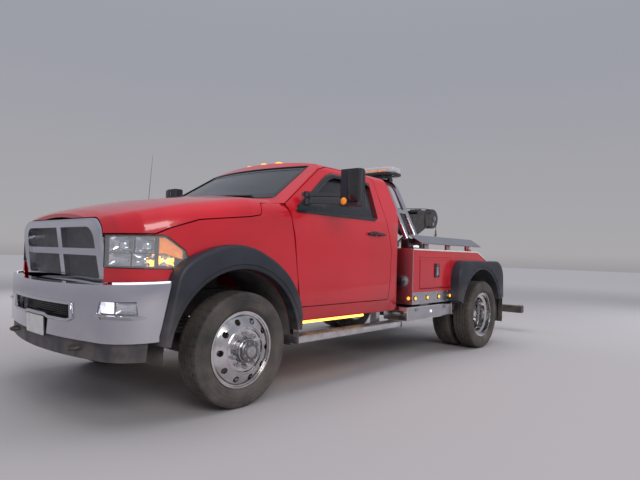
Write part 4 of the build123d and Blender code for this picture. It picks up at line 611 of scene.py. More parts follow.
def lamp_grid(u0, u1, v0, v1, inset, nu=20, nv=10):
    return [[lamp_point(lerp(u0, u1, i / nu), lerp(v0, v1, j / nv), inset(i / nu, j / nv) if callable(inset) else inset)
             for j in range(nv + 1)] for i in range(nu + 1)]


def dish(depth, edge, power=0.45):
    return lambda a, c: edge + depth * (max(sin(pi * a), 0) ** power) * (max(sin(pi * c), 0) ** power)


def twin(mesh, *spec, **more):
    """The mesh and its mirror image as one piece."""
    return mesh.mirrored().out(*spec, **more)


twin(Mesh().sheet(lamp_grid(0.0, 1.0, 0.0, 1.0, 3.0, 40, 8)), "headlamp_lens", "clear", 50, replaces=("headlamps",))
cells = Mesh()
for u0, u1, v0, v1, depth in ((0.04, 0.36, 0.46, 0.95, 70), (0.37, 0.62, 0.46, 0.95, 64), (0.04, 0.33, 0.06, 0.44, 52),
                              (0.34, 0.60, 0.06, 0.44, 58), (0.61, 0.83, 0.08, 0.44, 48)):
    cells.sheet(lamp_grid(u0, u1, v0, v1, dish(depth, 18)))
twin(cells, "headlamp_reflectors", "reflector", 60)
twin(Mesh().sheet(lamp_grid(0.64, 0.93, 0.46, 0.93, dish(30, 16))), "headlamp_side_reflector", "amberlens", 60)
bezel = Mesh().sheet(lamp_grid(0.0, 1.0, 0.0, 1.0, 82.0, 30, 4))
for v in (0.0, 1.0):
    bezel.sheet([[lamp_point(i / 30, v, w) for w in (3.2, 82)] for i in range(31)])
bezel.sheet([[lamp_point(0, j / 6, w) for w in (3.2, 82)] for j in range(7)])
for span in ((0.0, 0.045, 0, 1), (0.0, 1.0, 0.0, 0.065), (0.0, 1.0, 0.94, 1.0), (0.04, 0.64, 0.435, 0.465),
             (0.355, 0.375, 0.44, 0.95), (0.325, 0.345, 0.05, 0.45), (0.595, 0.645, 0.05, 0.95),
             (0.825, 1.0, 0.05, 0.46), (0.925, 1.0, 0.44, 0.95)):
    bezel.sheet(lamp_grid(*span, 17.0, 10, 2))
twin(bezel, "headlamp_bezel", "blackgloss", 40)
projector = Mesh()
for u, v, r in ((0.19, 0.70, 0.034), (0.49, 0.70, 0.030), (0.47, 0.25, 0.024)):
    c = Vector(lamp_point(u, v, 44))
    n = (Vector(lamp_point(u, v, 10)) - c).normalized() + Vector((0.9, 0, 0))
    projector.dome(c, n, 32, 0.018, (-0.02, r), (0.0, r), (0.004, r * 0.96), (0.012, r * 0.70), (0.017, r * 0.36))
twin(projector, "headlamp_projectors", "mirror", 40)
bulbs = Mesh()
for u, v in ((0.68, 0.25), (0.76, 0.27), (0.56, 0.20)):
    c = Vector(lamp_point(u, v, 30))
    bulbs.dome(c, Vector(lamp_point(u, v, 4)) - c, 18, 0.021, (-0.02, 0.008), (0.0, 0.012), (0.010, 0.013),
               (0.018, 0.008))
twin(bulbs, "headlamp_bulbs", "glow", 50)
edge = [lamp_point(u / 40, 0.0, 2) for u in range(41)] + [lamp_point(u / 40, 1.0, 2) for u in range(40, -1, -1)]
twin(Mesh().tube(edge, 0.0032, 8, closed=True), "headlamp_rim", "blackgloss", 50)

# Bumper: lit strip on its shoulder, fog lamps, intake, plate and tow hooks

bumper_top = [(-1100, 838), (-850, 870), (-560, 884), (-400, 890)]
run = along([(-848, 815), (-800, 876), (-720, 938), (-640, 980), (-552, 1003)], 24)
for name, mat, dd, dy, dz, r in (("lit_strip", "white", 0, 0, 5, 0.0052),
                                 ("lit_strip_holder", "blackgloss", 5, -7, 3, 0.006)):
    strip = Mesh()
    for s in (1, -1):
        strip.tube([P(d + dd, s * (y + dy), table(bumper_top, d) + dz) for d, y in run], r, 8)
    strip.out(name, mat, 50)


def circle_through(a, b, c):
    ax, ay, bx, by, cx, cy = *a, *b, *c
    d = 2 * (ax * (by - cy) + bx * (cy - ay) + cx * (ay - by))
    ux = ((ax * ax + ay * ay) * (by - cy) + (bx * bx + by * by) * (cy - ay) + (cx * cx + cy * cy) * (ay - by)) / d
    uy = ((ax * ax + ay * ay) * (cx - bx) + (bx * bx + by * by) * (ax - cx) + (cx * cx + cy * cy) * (bx - ax)) / d
    return ux, uy, hypot(ax - ux, ay - uy)


corner_d, corner_y, corner_r = circle_through((-905, 700), (-812, 915), (-600, 1028))
front_d, _, front_r = circle_through((-905, 700), (-980, 0), (-905, -700))


def bumper_face(y, inset):
    """A place on the bumper's face at this y, inset along the outward direction, with no height."""
    if abs(y) <= 700:
        k = asin(y / front_r)
        return P(front_d - (front_r - inset) * cos(k), (front_r - inset) * sin(k), 0)
    s = 1 if y > 0 else -1
    k = asin(max(min((abs(y) - corner_y) / corner_r, 1), -1))
    return P(corner_d - (corner_r - inset) * cos(k), s * (corner_y + (corner_r - inset) * sin(k)), 0)


def face_sheet(y0, y1, low, high, inset, ny=14, nz=6):
    """A grid that follows the bumper's face; low and high are heights in millimetres or functions of y."""
    rows = []
    for i in range(ny + 1):
        y = lerp(y0, y1, i / ny)
        a, c = [f(y) if callable(f) else f for f in (low, high)]
        depths = [inset(i / ny, j / nz) if callable(inset) else inset for j in range(nz + 1)]
        rows.append([(*bumper_face(y, w)[:2], lerp(a, c, j / nz) / 1000) for j, w in enumerate(depths)])
    return rows


fog_low = lambda y: lerp(688, 692, (y - 740) / 222)
fog_high = lambda y: lerp(761, 768, (y - 740) / 222)
twin(Mesh().sheet(face_sheet(744, 846, fog_low, fog_high, dish(34, 26), 16, 10)), "fog_lamp_lit", "white", 60,
     replaces=("small_lamps",))
twin(Mesh().sheet(face_sheet(856, 958, fog_low, fog_high, dish(30, 26), 16, 10)), "fog_lamp_dark", "reflector", 60)
fog = Mesh()
for y0, y1 in ((738, 746), (845, 857), (957, 966)):
    fog.sheet(face_sheet(y0, y1, 682, 774, 24, 3, 3))
for low, high in ((680, 692), (760, 775)):
    fog.sheet(face_sheet(738, 966, low, high, 25, 14, 2))
twin(fog.sheet(face_sheet(732, 972, 676, 778, 66, 14, 4)), "fog_lamp_housing", "blackgloss", 40)
twin(Mesh().sheet(face_sheet(742, 962, fog_low, fog_high, 18, 16, 4)), "fog_lamp_lens", "clear", 40)
rows = []
for i in range(21):
    y = lerp(712, 992, i / 20)
    a, b = bumper_face(y, 4), bumper_face(y, -15 * min(min(i, 20 - i) / 4, 1.0))
    rows.append([(a[0], a[1], 0.687), (b[0], b[1], 0.681), (b[0], b[1], 0.676), (a[0], a[1], 0.652)])
twin(Mesh().sheet(rows), "fog_lamp_ledge", "chrome", 35)

intake_low = [(0, 643), (150, 643), (200, 629), (440, 629), (490, 644)]
ring = [(*bumper_face(y, -5)[:2], (table(intake_low, abs(y)) - 6) / 1000)
        for y in [lerp(-486, 486, i / 48) for i in range(49)]]
ring += [(*bumper_face(lerp(-476, 476, i / 48), -5)[:2], 0.732) for i in range(48, -1, -1)]
Mesh().tube(ring, 0.013, 10, closed=True).out("intake_surround", "chrome", 60)
net = Mesh()
for z in range(640, 728, 13):
    net.tube([bumper_face(lerp(-478, 478, i / 24), 56)[:2] + (z / 1000,) for i in range(25)], 0.0022, 6)
for k in range(-23, 24):
    a = bumper_face(k * 20.5, 56)[:2]
    net.rod((*a, 0.628), (*a, 0.727), 0.0020, 6)
net.out("intake_mesh", "blackgloss")
Mesh().bar(-868, -862, -500, 500, 600, 745).out("intake_backing", "plastic")

PLATE_D, PLATE_Z, PLATE_LEAN = -987, 0.555, 0.06


def lean(x, y, z):
    return (back(PLATE_D) + x + (z - PLATE_Z) * PLATE_LEAN, y, z)


outline = [(-0.15, 0.491), (0.15, 0.491), (0.15, 0.619), (-0.15, 0.619), (-0.15, 0.491)]
plate = Mesh().prism(rounded(outline, 0.012)[:-1], 0, 0.0, 0.0025)
plate.v = [lean(*p) for p in plate.v]
plate.out("front_plate", "plate")
holder = Mesh().prism([(-0.158, 0.486), (0.158, 0.486), (0.158, 0.626), (-0.158, 0.626)], 0, -0.008, -0.0005, 0.002)
holder.v = [lean(*p) for p in holder.v]
holder.bar(-985, -966, -60, 60, 540, 600, 0.003).out("front_plate_holder", "blackgloss")
screws = Mesh()
for y in (-0.09, 0.09):
    for z in (0.503, 0.607):
        screws.stud(lean(0.0025, y, z), (1, 0, -PLATE_LEAN), 12, 0.003, (0, 0.006), (0.002, 0.0055))
screws.out("front_plate_screws", "bolt")
hooks = Mesh()
for s in (1, -1):
    hooks.tube(rounded([P(-760, s * 470, 470), P(-905, s * 470, 466), P(-962, s * 478, 452), P(-966, s * 545, 452),
                        P(-915, s * 560, 462), P(-870, s * 540, 470)], 0.03, 6), 0.013, 14)
    hooks.bar(-770, -700, s * 452, s * 490, 452, 488, 0.004)
hooks.out("tow_hooks", "frame", 50)


# Wheel arch flares: smooth arches with a rolled outer edge and a stepped lip

def flare(mesh, outline, centre, radius, y_in, y_out, s):
    rows = []
    for d, z in along(rounded(outline, 400, 6), 80):
        o = Vector((d, z))
        if z < AXLE_Z + 60:
            reach = cos(asin(60 / radius)) * radius
            i = Vector((centre + (reach if d > centre else -reach), z))
        else:
            a = atan2(z - AXLE_Z, d - centre)
            i = Vector((centre + radius * cos(a), AXLE_Z + radius * sin(a)))
        u = (i - o).normalized()
        section = [(o, y_in(d))] + [(o + u * a, y_out - b) for a, b in ((0, 26), (4, 13), (13, 4), (26, 0))]
        section += [(i - u * a, y_out - b) for a, b in ((36, 2), (28, 10), (6, 11), (1, 15))] + [(i, y_in(d))]
        rows.append([P(q.x, s * y, q.y) for q, y in section])
    n = len(mesh.v)
    mesh.sheet(rows)
    for k in (0, len(rows) - 1):
        mesh.f.append(tuple(n + k * 10 + j for j in range(10)))


FRONT_FLARE = [(-637, 500), (-637, 560), (-550, 963), (-438, 1049), (-237, 1121), (-91, 1143), (82, 1118), (291, 1022),
               (442, 904), (544, 754), (585, 604), (575, 500)]
REAR_FLARE = [(3030, 600), (3035, 900), (3095, 1010), (3190, 1058), (4150, 1058), (4245, 1000), (4305, 900),
              (4320, 600)]
flares = Mesh()
for s in (1, -1):
    flare(flares, FRONT_FLARE, ARCH_D, 565, lambda d: min(max(lerp(945, 988, (d + 500) / 200), 945), 988), 1085, s)
    flare(flares, REAR_FLARE, REAR, 550, lambda d: 1082, 1205, s)
flares.out("wheel_arch_flares", "plastic", 40, replaces=("flares",))

# Bumper shelf in front of the grille

rows = []
for i in range(41):
    x, y, _ = bumper_face(lerp(-690, 690, i / 40), 44)
    rows.append([(x, y, 0.851), (x - 0.006, y, 0.8405)] +
                [(lerp(x - 0.006, back(-800), t), y, lerp(0.8405, 0.834, t)) for t in (0.5, 1.0)])
thicken(Mesh().sheet(rows).out("bumper_shelf", "chrome", 40), 0.002)

# Cab outside: windshield border, cowl, wipers, window trims, handles, mirrors, roof lamps

GLASS_R = 2160           # the windshield's curve across


def bow(y, radius=GLASS_R):
    """How far a curve across the cab falls back at y."""
    return radius - sqrt(radius ** 2 - y * y)


def screen_point(y, z, setback):
    """A place on the windshield's surface, set back along the truck."""
    return P(300 + setback + bow(y) + (z - 1530) / 0.6009, y, z)


def screen_half(z):
    return lerp(815, 690, (z - 1530) / 350)


band = Mesh()
for z0, z1 in ((1532, 1580), (1846, 1879)):
    band.sheet([[screen_point(screen_half(z) * k / 14, z, 10) for z in (z0, (z0 + z1) / 2, z1)]
                for k in range(-14, 15)])
for s in (1, -1):
    band.sheet([[screen_point(s * (screen_half(z) - w), z, 10) for w in (1, 24, 46)]
                for z in [1532 + 347 * k / 14 for k in range(15)]])
band.out("windshield_band", "blackgloss", 40)
flank = [1531 + 349 * k / 8 for k in range(1, 8)]
path = [screen_point(815 * k / 16, 1531, 3) for k in range(-16, 17)]
path += [screen_point(screen_half(z), z, 3) for z in flank]
path += [screen_point(690 * k / 16, 1880, 3) for k in range(16, -17, -1)]
path += [screen_point(-screen_half(z), z, 3) for z in flank[::-1]]
Mesh().tube(path, 0.0065, 8, closed=True).out("windshield_moulding", "blackgloss", 50)
cowl = Mesh()
rows = []
for k in range(-20, 21):
    y = 880 * k / 20
    hood_edge, glass_edge = 238 + bow(y, 2205), 300 + bow(y)
    fall = 16 * (abs(y) / 880) ** 2
    rows.append([P(hood_edge + 2, y, 1502 - fall), P(hood_edge + 12, y, 1513 - fall),
                 P(lerp(hood_edge, glass_edge, 0.6), y, 1518 - fall), P(glass_edge + 6, y, 1533)])
cowl.sheet(rows)
for y in range(-780, 781, 30):
    edge_d = 244 + bow(y, 2182)
    fall = 16 * (abs(y) / 880) ** 2
    cowl.bar(edge_d + 8, edge_d + 40, y - 4, y + 4, 1515 - fall, 1521 - fall)
cowl.out("cowl_panel", "plastic", 35)
wiper, blade = Mesh(), Mesh()
for pivot_y, tip_y in ((640, 60), (-20, -600)):
    a = Vector(screen_point(pivot_y, 1536, -14))
    mid_y = lerp(pivot_y, tip_y, 0.55)
    wiper.tube(rounded([a[:], (a + Vector((0.004, 0, 0.018)))[:], screen_point(mid_y, 1566, -14)], 0.01, 4),
               [0.009] * 5 + [0.0055] * 2, 8)
    wiper.stud(a, (0.5, 0, 0.86), 20, 0.012, (-0.03, 0.016), (0.006, 0.015), (0.012, 0.008))
    for reach, setback, r in ((290, -5, 0.0045), (285, 4, 0.0028)):
        blade.tube([screen_point(lerp(mid_y + reach, mid_y - reach, t / 12), lerp(1552, 1577, t / 12), setback)
                    for t in range(13)], r, 6)
wiper.out("wiper_arms", "blackgloss", 40)
blade.out("wiper_blades", "rubber", 40)

side_skin = [(540, 960), (690, 1000), (1130, 1000), (1300, 996), (1420, 982), (1835, 810), (1879, 778)]
window_line = [(560, 1432), (1060, 1775), (1160, 1815), (1640, 1822), (1735, 1795), (1700, 1440)]
visor_top = along([(640, 1497), (850, 1644), (1062, 1790), (1160, 1830), (1400, 1836), (1640, 1838), (1738, 1812)], 24)
visor_low = along([(660, 1470), (880, 1618), (1082, 1752), (1170, 1783), (1400, 1786), (1632, 1786), (1712, 1766)], 24)


def on_side(d, z, out, s):
    """A place on the cab's side, so far out from its skin."""
    return P(d, s * (table(side_skin, z) + out), z)


for tag, s in SIDES:
    door = "cab_door_" + tag
    loop = along(window_line + [window_line[0]], 90)[:-1]
    Mesh().tube([on_side(d, z, 1, s) for d, z in loop], 0.0075, 8, closed=True).out("window_trim_" + tag, "blackgloss",
                                                                                    50, door)
    Mesh().sheet([[on_side(d, z, w, s) for z, w in ((1418, 1), (1419, 7), (1437, 8), (1441, 1))]
                  for d in range(570, 1706, 60)]).out("window_sill_strip_" + tag, "blackgloss", 30, door)
    visor = Mesh().sheet([[on_side(*a, 3, s), on_side(lerp(a[0], c[0], 0.3), lerp(a[1], c[1], 0.3), 15, s),
                           on_side(*c, 21, s)] for a, c in zip(visor_top, visor_low)])
    thicken(visor.out("window_visor_" + tag, "blackgloss", 60, door), 0.003)
    grip = [(1528, 1292, 2), (1536, 1294, 30), (1600, 1296, 40), (1690, 1296, 40), (1752, 1294, 30), (1760, 1292, 2)]
    Mesh().tube(rounded([on_side(*p, s) for p in grip], 0.02, 4), 0.0125, 12).out("door_handle_" + tag, "blackgloss",
                                                                                  50, door)
    cup = Mesh()
    cup.v += [on_side(1640 + 100 * cos(2 * pi * k / 28), 1294 + 26 * sin(2 * pi * k / 28), 1, s) for k in range(28)]
    cup.f.append(tuple(range(28))[::s])
    cup.stud(on_side(1808, 1294, 0, s), (0, s, 0), 20, 0.004, (-0.004, 0.011), (0.004, 0.010))
    cup.out("door_handle_cup_" + tag, "blackgloss", False, door)
    corners = ((566, 1436), (600, 1474), (700, 1545), (735, 1566), (740, 1442))
    sail = Mesh().add([on_side(d, z, 5, s) for d, z in corners], [range(5)])
    thicken(sail.out("mirror_sail_" + tag, "plastic", False, door), 0.004)
    # Mirror head: outer shell, two glasses with their rims, lamp and joints
    Mesh().box(back(829), back(896), s * 1.282, s * 1.3865, 1.512, 1.772, 0.011).out("mirror_shell_" + tag,
                                                                                     "blackgloss", 40, door)
    glasses, rim, joints = Mesh(), Mesh(), Mesh()
    for z0, z1 in ((1.585, 1.765), (1.500, 1.568)):
        glasses.box(back(944), back(941), s * 1.222, s * 1.360, z0, z1, 0.0008)
    glasses.out("mirror_glasses_" + tag, "mirror", False, door)
    for z0, z1 in ((1.577, 1.773), (1.492, 1.576)):
        pts = [(back(942), s * y, z) for y, z in ((1.214, z1), (1.214, z0), (1.368, z0), (1.368, z1), (1.214, z1),
                                                  (1.214, z0))]
        rim.tube(rounded(pts, 0.012, 4)[1:-2], 0.0042, 8, closed=True)
    rim.out("mirror_rims_" + tag, "plastic", 50, door)
    Mesh().stud((back(838), s * 1.240, 1.522), (1, 0, 0), 28, 0.010, (-0.01, 0.030), (0.004, 0.029),
                (0.008, 0.022)).out("mirror_lamp_" + tag, "amberlens", 50, door)
    for z in (1.514, 1.574):
        for d, y, half, r in ((672, 0.985, 0.022, 0.024), (890, 1.205, 0.020, 0.022)):
            joints.rod((back(d), s * y, z - half), (back(d), s * y, z + half), r, 20)
    joints.out("mirror_joints_" + tag, "plastic", 40, door)

lamps, bases = Mesh(), Mesh()
for d, y in ((1100, 0), (1100, 210), (1100, -210), (1200, 525), (1200, -525)):
    z = 1957 - 66 * (y / 655) ** 2
    lamps.bar(d - 40, d + 40, y - 27, y + 27, z + 1, z + 25, 0.010)
    bases.bar(d - 47, d + 47, y - 34, y + 34, z - 14, z + 6, 0.004)
lamps.out("roof_lamps", "amber", 50)
bases.out("roof_lamp_bases", "blackgloss", 40)
Mesh().dome(P(1310, 280, 1944), (0, 0, 1), 28, 0.038, (0, 0.055), (0.010, 0.052), (0.028, 0.036),
            (0.036, 0.016)).out("roof_antenna", "blackgloss", 50)
Mesh().dome(P(330, -880, 1492), (-0.15, 0, 1), 18, 0.05, (0, 0.018), (0.012, 0.016), (0.02, 0.007), (0.05, 0.005)).tube(
    [P(330, -880, 1530), P(345, -880, 1780), P(362, -880, 2040)], [0.0026, 0.0020, 0.0013], 8).out("aerial",
                                                                                                   "blackgloss", 50)

# Sills: step boards, brackets and lit tubes

for tag, s in SIDES:
    tread = Mesh()
    for k in range(34):
        d = 545 + k * 43
        for y in (948, 990, 1032):
            tread.box(back(d), back(d + 30), s * (y + 6) / 1000, s * (y + 14) / 1000, 0.4395, 0.4445, 0.001)
    tread.box(back(530), back(1985), s * 0.938, s * 1.070, 0.4385, 0.4415).out("step_tread_" + tag, "plastic")
    Mesh().box(back(520), back(1995), s * 1.078, s * 1.086, 0.394, 0.4465, 0.003).out("step_edge_" + tag, "alloy", 40)
    caps, ends = Mesh(), Mesh()
    for d0, d1 in ((508, 524), (1991, 2007)):
        caps.box(back(d0), back(d1), s * 0.926, s * 1.089, 0.388, 0.447, 0.005)
    caps.out("step_caps_" + tag, "plastic", 40)
    Mesh().rod(P(700, s * 935, 526), P(1550, s * 935, 526), 0.0125).out("sill_tube_" + tag, "glow", 50)
    for d0, d1 in ((688, 704), (1546, 1562)):
        ends.rod(P(d0, s * 935, 526), P(d1, s * 935, 526), 0.016)
    ends.out("sill_tube_clips_" + tag, "blackgloss", 40)

# Tow body

for tag, s in SIDES:
    outward = (0, s, 0)
    trim = Mesh()
    line = [(2202, 1168), (3742, 1168), (4316, 958)]
    for ends in zip(line, line[1:]):
        trim.add([P(d, s * y, z + dz) for d, z in ends for y in (1084, 1089) for dz in (-9, 6)], HEX)
    trim.bar(4326, 4331, s * 1085, s * 1089, 700, 955).out("body_edge_strip_" + tag, "pale")
    Mesh().bar(2643, 2742, s * 1084, s * 1096, 868, 1022, 0.005).out("bay_latch_plate_" + tag, "blackgloss", 40,
                                                                     "bay_door_" + tag)
    Mesh().bar(2668, 2717, s * 1095, s * 1103, 890, 985, 0.003).rod(P(2692, s * 1092, 1003), P(2692, s * 1102, 1003),
                                                                    0.009).out("bay_latch_lever_" + tag, "steel", 40,
                                                                               "bay_door_" + tag)
    Mesh().rod(P(2334, s * 1086, 1093), P(3014, s * 1086, 1093), 0.004, 10).out("bay_hinge_rod_" + tag, "paint", 50)
    fold = Mesh()
    for a, c in (((2340, 768), (3008, 768)), ((2340, 1062), (3008, 1062)), ((2341, 768), (2341, 1062)),
                 ((3007, 768), (3007, 1062))):
        fold.rod(P(a[0], s * 1085, a[1]), P(c[0], s * 1085, c[1]), 0.0035, 8)
    fold.out("bay_door_fold_" + tag, "paint", 50, "bay_door_" + tag)
    amber, ring = Mesh(), Mesh()
    for d, y, way in [(d, 1086, outward) for d in (2245, 2495, 2745, 3000)] + [(2189, 1045, (1, 0, 0))]:
        amber.dome(P(d, s * y, 658), way, 24, 0.018, (0.0, 0.019), (0.008, 0.018), (0.015, 0.012))
        ring.lathe([(-0.002, 0.018), (-0.002, 0.027), (0.004, 0.026), (0.007, 0.020), (0.003, 0.018)],
                   P(d, s * y, 658), way, 24)
    amber.out("side_markers_" + tag, "amber", 50)
    ring.out("side_marker_rings_" + tag, "rubber", 40)
    cap = Mesh().dome(P(2158, s * 955, 830), (1, 0, 0), 36, 0.031, (0.0, 0.054), (0.006, 0.055), (0.016, 0.050),
                      (0.020, 0.044), (0.020, 0.012), (0.030, 0.011))
    cap.box(back(2158) + 0.018, back(2158) + 0.034, s * 0.915, s * 0.995, 0.822, 0.838, 0.003)
    cap.out("filler_cap_" + tag, "blackgloss", 40)
    edges, catch = Mesh(), Mesh()
    for d0, d1 in ((2106, 2124), (3076, 3094)):
        edges.bar(d0, d1, s * 798, s * 1079, 432, 572, 0.003)
    for z in (560, 432):
        edges.bar(2110, 3090, s * 1073, s * 1078, z, z + 12, 0.001)
    edges.out("lower_box_edges_" + tag, "alloy", 40)
    for d in (2300, 2900):
        catch.bar(d - 22, d + 22, s * 1075, s * 1083, 520, 552, 0.002)
        catch.rod(P(d - 14, s * 1086, 536), P(d + 14, s * 1086, 536), 0.005, 10)
    catch.out("lower_box_catches_" + tag, "steel", 40)
    Mesh().dome(P(2600, s * 1076, 506), outward, 20, 0.010, (0.0, 0.014), (0.006, 0.013)).bar(
        2262, 2318, s * 1040, s * 1078, 1184, 1206, 0.006).out("white_lights_" + tag, "white", 50)
    Mesh().bar(3512, 3572, s * 1040, s * 1078, 1178, 1200, 0.006).bar(
        4334, 4354, s * 868, s * 1052, 662, 763, 0.008).out("red_lights_" + tag, "redlens", 50)
    Mesh().bar(4326, 4346, s * 860, s * 1060, 655, 770, 0.005).bar(
        2256, 2324, s * 1034, s * 1083, 1174, 1186, 0.003).bar(
        3506, 3578, s * 1034, s * 1083, 1174, 1182, 0.003).out("tail_lamp_housing_" + tag, "blackgloss", 40)
    Mesh().bar(4350, 4356, s * 935, s * 985, 668, 757, 0.003).out("reverse_lamp_" + tag, "clear", 40)
    bolts, dark_bolts = Mesh(), Mesh()
    for d in range(2230, 3100, 145):
        for z in (709, 607):
            bolts.stud(P(d, s * 1085, z), outward, 10, 0.005, (0, 0.0075), (0.004, 0.0065))
    for k in range(15):
        t = radians(8 + 164 * k / 14)
        if AXLE_Z + 566 * sin(t) < 1030:
            dark_bolts.stud(P(REAR - 590 * cos(t), s * 1204, AXLE_Z + 590 * sin(t)), outward, 10, 0.006, (0, 0.008),
                            (0.004, 0.007))
    for d in (2590, 3100, 3620):
        for z in (1215, 1285):
            bolts.stud(P(d + 25, s * 1000, z), outward, 10, 0.008, (0, 0.010), (0.006, 0.009))
    bolts.out("body_bolts_" + tag, "bolt", 30)
    dark_bolts.out("flare_bolts_" + tag, "blackgloss", 30)
    flap = Mesh()
    for k in range(7):
        flap.bar(4306, 4300, s * (730 + k * 66), s * (742 + k * 66), 300, 560)
    flap.out("mudflap_ribs_" + tag, "rubber")
    Mesh().bar(4299, 4313, s * 688, s * 1192, 268, 290, 0.003).out("mudflap_weights_" + tag, "alloy", 40)
    Mesh().bar(4333, 4337, s * 1063, s * 1082, 640, 905, 0.001).out("rear_edge_strip_" + tag, "pale")

tread = Mesh()
for i in range(25):
    for j in range(-13, 14):
        x, yy = back(3240 + i * 44), j * 0.045
        a = radians(45 if (i + j) % 2 else -45)
        ux, uy = cos(a) * 0.015, sin(a) * 0.015
        wx, wy = -sin(a) * 0.0035, cos(a) * 0.0035
        foot = [(x + p * ux + q * wx, yy + p * uy + q * wy, 0.866) for p, q in ((-1, -1), (1, -1), (1, 1), (-1, 1))]
        ridge = [(x + p * ux, yy + p * uy, 0.868) for p in (-0.8, 0.8)]
        tread.add(foot + ridge, [(0, 1, 5, 4), (1, 2, 5), (2, 3, 4, 5), (3, 0, 4)])
tread.out("deck_tread_pattern", "frame")
levers, knobs = Mesh().bar(4120, 4240, 470, 612, 867, 940, 0.006), Mesh()
for y in range(492, 592, 33):
    levers.rod(P(4180, y, 938), P(4196, y, 1040), 0.005, 10)
    knobs.stud(P(4196, y, 1036), (-0.1, 0, 1), 16, 0.036, (0, 0.008), (0.012, 0.013), (0.026, 0.013), (0.034, 0.008))
levers.out("control_levers", "steel", 40)
knobs.out("control_knobs", "blackgloss", 50)

# Arch, its feet and the light bar

feet, foot_bolts, collars = Mesh(), Mesh(), Mesh()
for s in (1, -1):
    feet.prism([(back(d), z) for d, z in ((2274, 1.172), (2576, 1.172), (2576, 1.268), (2560, 1.282), (2290, 1.282),
                                          (2274, 1.268))], 1, s * 0.882, s * 0.972, 0.003)
    for d in (2300, 2360, 2490, 2550):
        foot_bolts.stud(P(d, s * 972, 1205), (0, s, 0), 6, 0.010, (0, 0.011), (0.008, 0.010))
    for d in (2330, 2520):
        collars.rod(P(d, s * 938, 1244), P(d, s * 924, 1272), 0.037, 24)
        for y in (560, 120):
            collars.rod(P(d, s * (y - 16), 1955), P(d, s * (y + 16), 1955), 0.034, 24)
feet.out("arch_feet", "blackgloss", 40)
foot_bolts.out("arch_foot_bolts", "bolt", 30)
collars.out("arch_collars", "blackgloss", 40)
bar_plan = [(2290, -630), (2340, -720), (2500, -720), (2560, -630), (2560, 630), (2500, 720), (2340, 720), (2290, 630)]


def plan(grow=0.0):
    """The light bar's outline, grown by so many millimetres."""
    return [(back(2425 + (d - 2425) * (1 + grow / 135)), y * (1 + grow / 720) / 1000) for d, y in bar_plan]


Mesh().prism(plan(-2), 2, 2.016, 2.080, 0.016, 3).out("light_bar_dome", "clear", 40, replaces=("light_bar",))
base = Mesh().prism(plan(), 2, 1.985, 2.017, 0.004).prism(plan(-20), 2, 2.015, 2.022)
for y in (-560, 560):
    base.bar(2325, 2525, y - 30, y + 30, 1972, 1990, 0.004)
base.out("light_bar_base", "blackgloss", 40)
heads, lamps = Mesh(), Mesh()
for y in range(-600, 601, 120):
    for d, e in ((2312, 1), (2538, -1)):
        heads.bar(d, d + e * 34, y - 52, y + 52, 2022, 2062, 0.003)
        for k in range(4):
            lamps.dome(P(d - e, y - 37 + k * 25, 2042), (e, 0, 0), 14, 0.008, (0, 0.0125), (0.004, 0.012),
                       (0.007, 0.006))
heads.bar(2395, 2455, -610, 610, 2022, 2050, 0.004).out("light_bar_heads", "reflector", 30)
lamps.out("light_bar_lamps", "amberlens", 50)

# Boom, mast, winch and rope

RISE = radians(5)        # how far the boom stands up at rest
PIVOT_D, PIVOT_Z = 2700, 1490
SHEAVE = (1770, 20)      # along the boom and above its axis


def B(u, v, y):
    """A place on the boom: along it from its pivot, above its axis, and across."""
    return P(PIVOT_D + u * cos(RISE) - v * sin(RISE), y, PIVOT_Z + u * sin(RISE) + v * cos(RISE))


pins, gusset = Mesh(), Mesh()
for s in (1, -1):
    pins.stud(P(PIVOT_D, s * 122, PIVOT_Z), (0, s, 0), 32, 0.018, (0, 0.044), (0.006, 0.044), (0.008, 0.040),
              (0.008, 0.028), (0.016, 0.027))
    pins.stud(P(3020, s * 122, 960), (0, s, 0), 28, 0.014, (0, 0.034), (0.006, 0.034), (0.008, 0.020), (0.014, 0.019))
    for d, z in ((2756, 1480), (2644, 1500)):
        pins.stud(P(d, s * 122, z), (0, s, 0), 6, 0.008, (0, 0.009), (0.007, 0.008))
    for d in (2700, 2920):
        gusset.prism([(s * 0.122, 0.876), (s * 0.22, 0.876), (s * 0.122, 1.02)], 0, back(d), back(d + 12))
for d in (2380, 2540, 3000, 3170):
    for y in (-235, 235):
        pins.stud(P(d, y, 876), (0, 0, 1), 6, 0.026, (0, 0.019), (0.003, 0.019), (0.003, 0.014), (0.016, 0.013),
                  (0.018, 0.007), (0.026, 0.006))
pins.out("mast_pins_and_bolts", "bolt", 30)
gusset.out("mast_gussets", "boomblack")
head_bits, grooves, side_plates = Mesh(), Mesh(), Mesh()
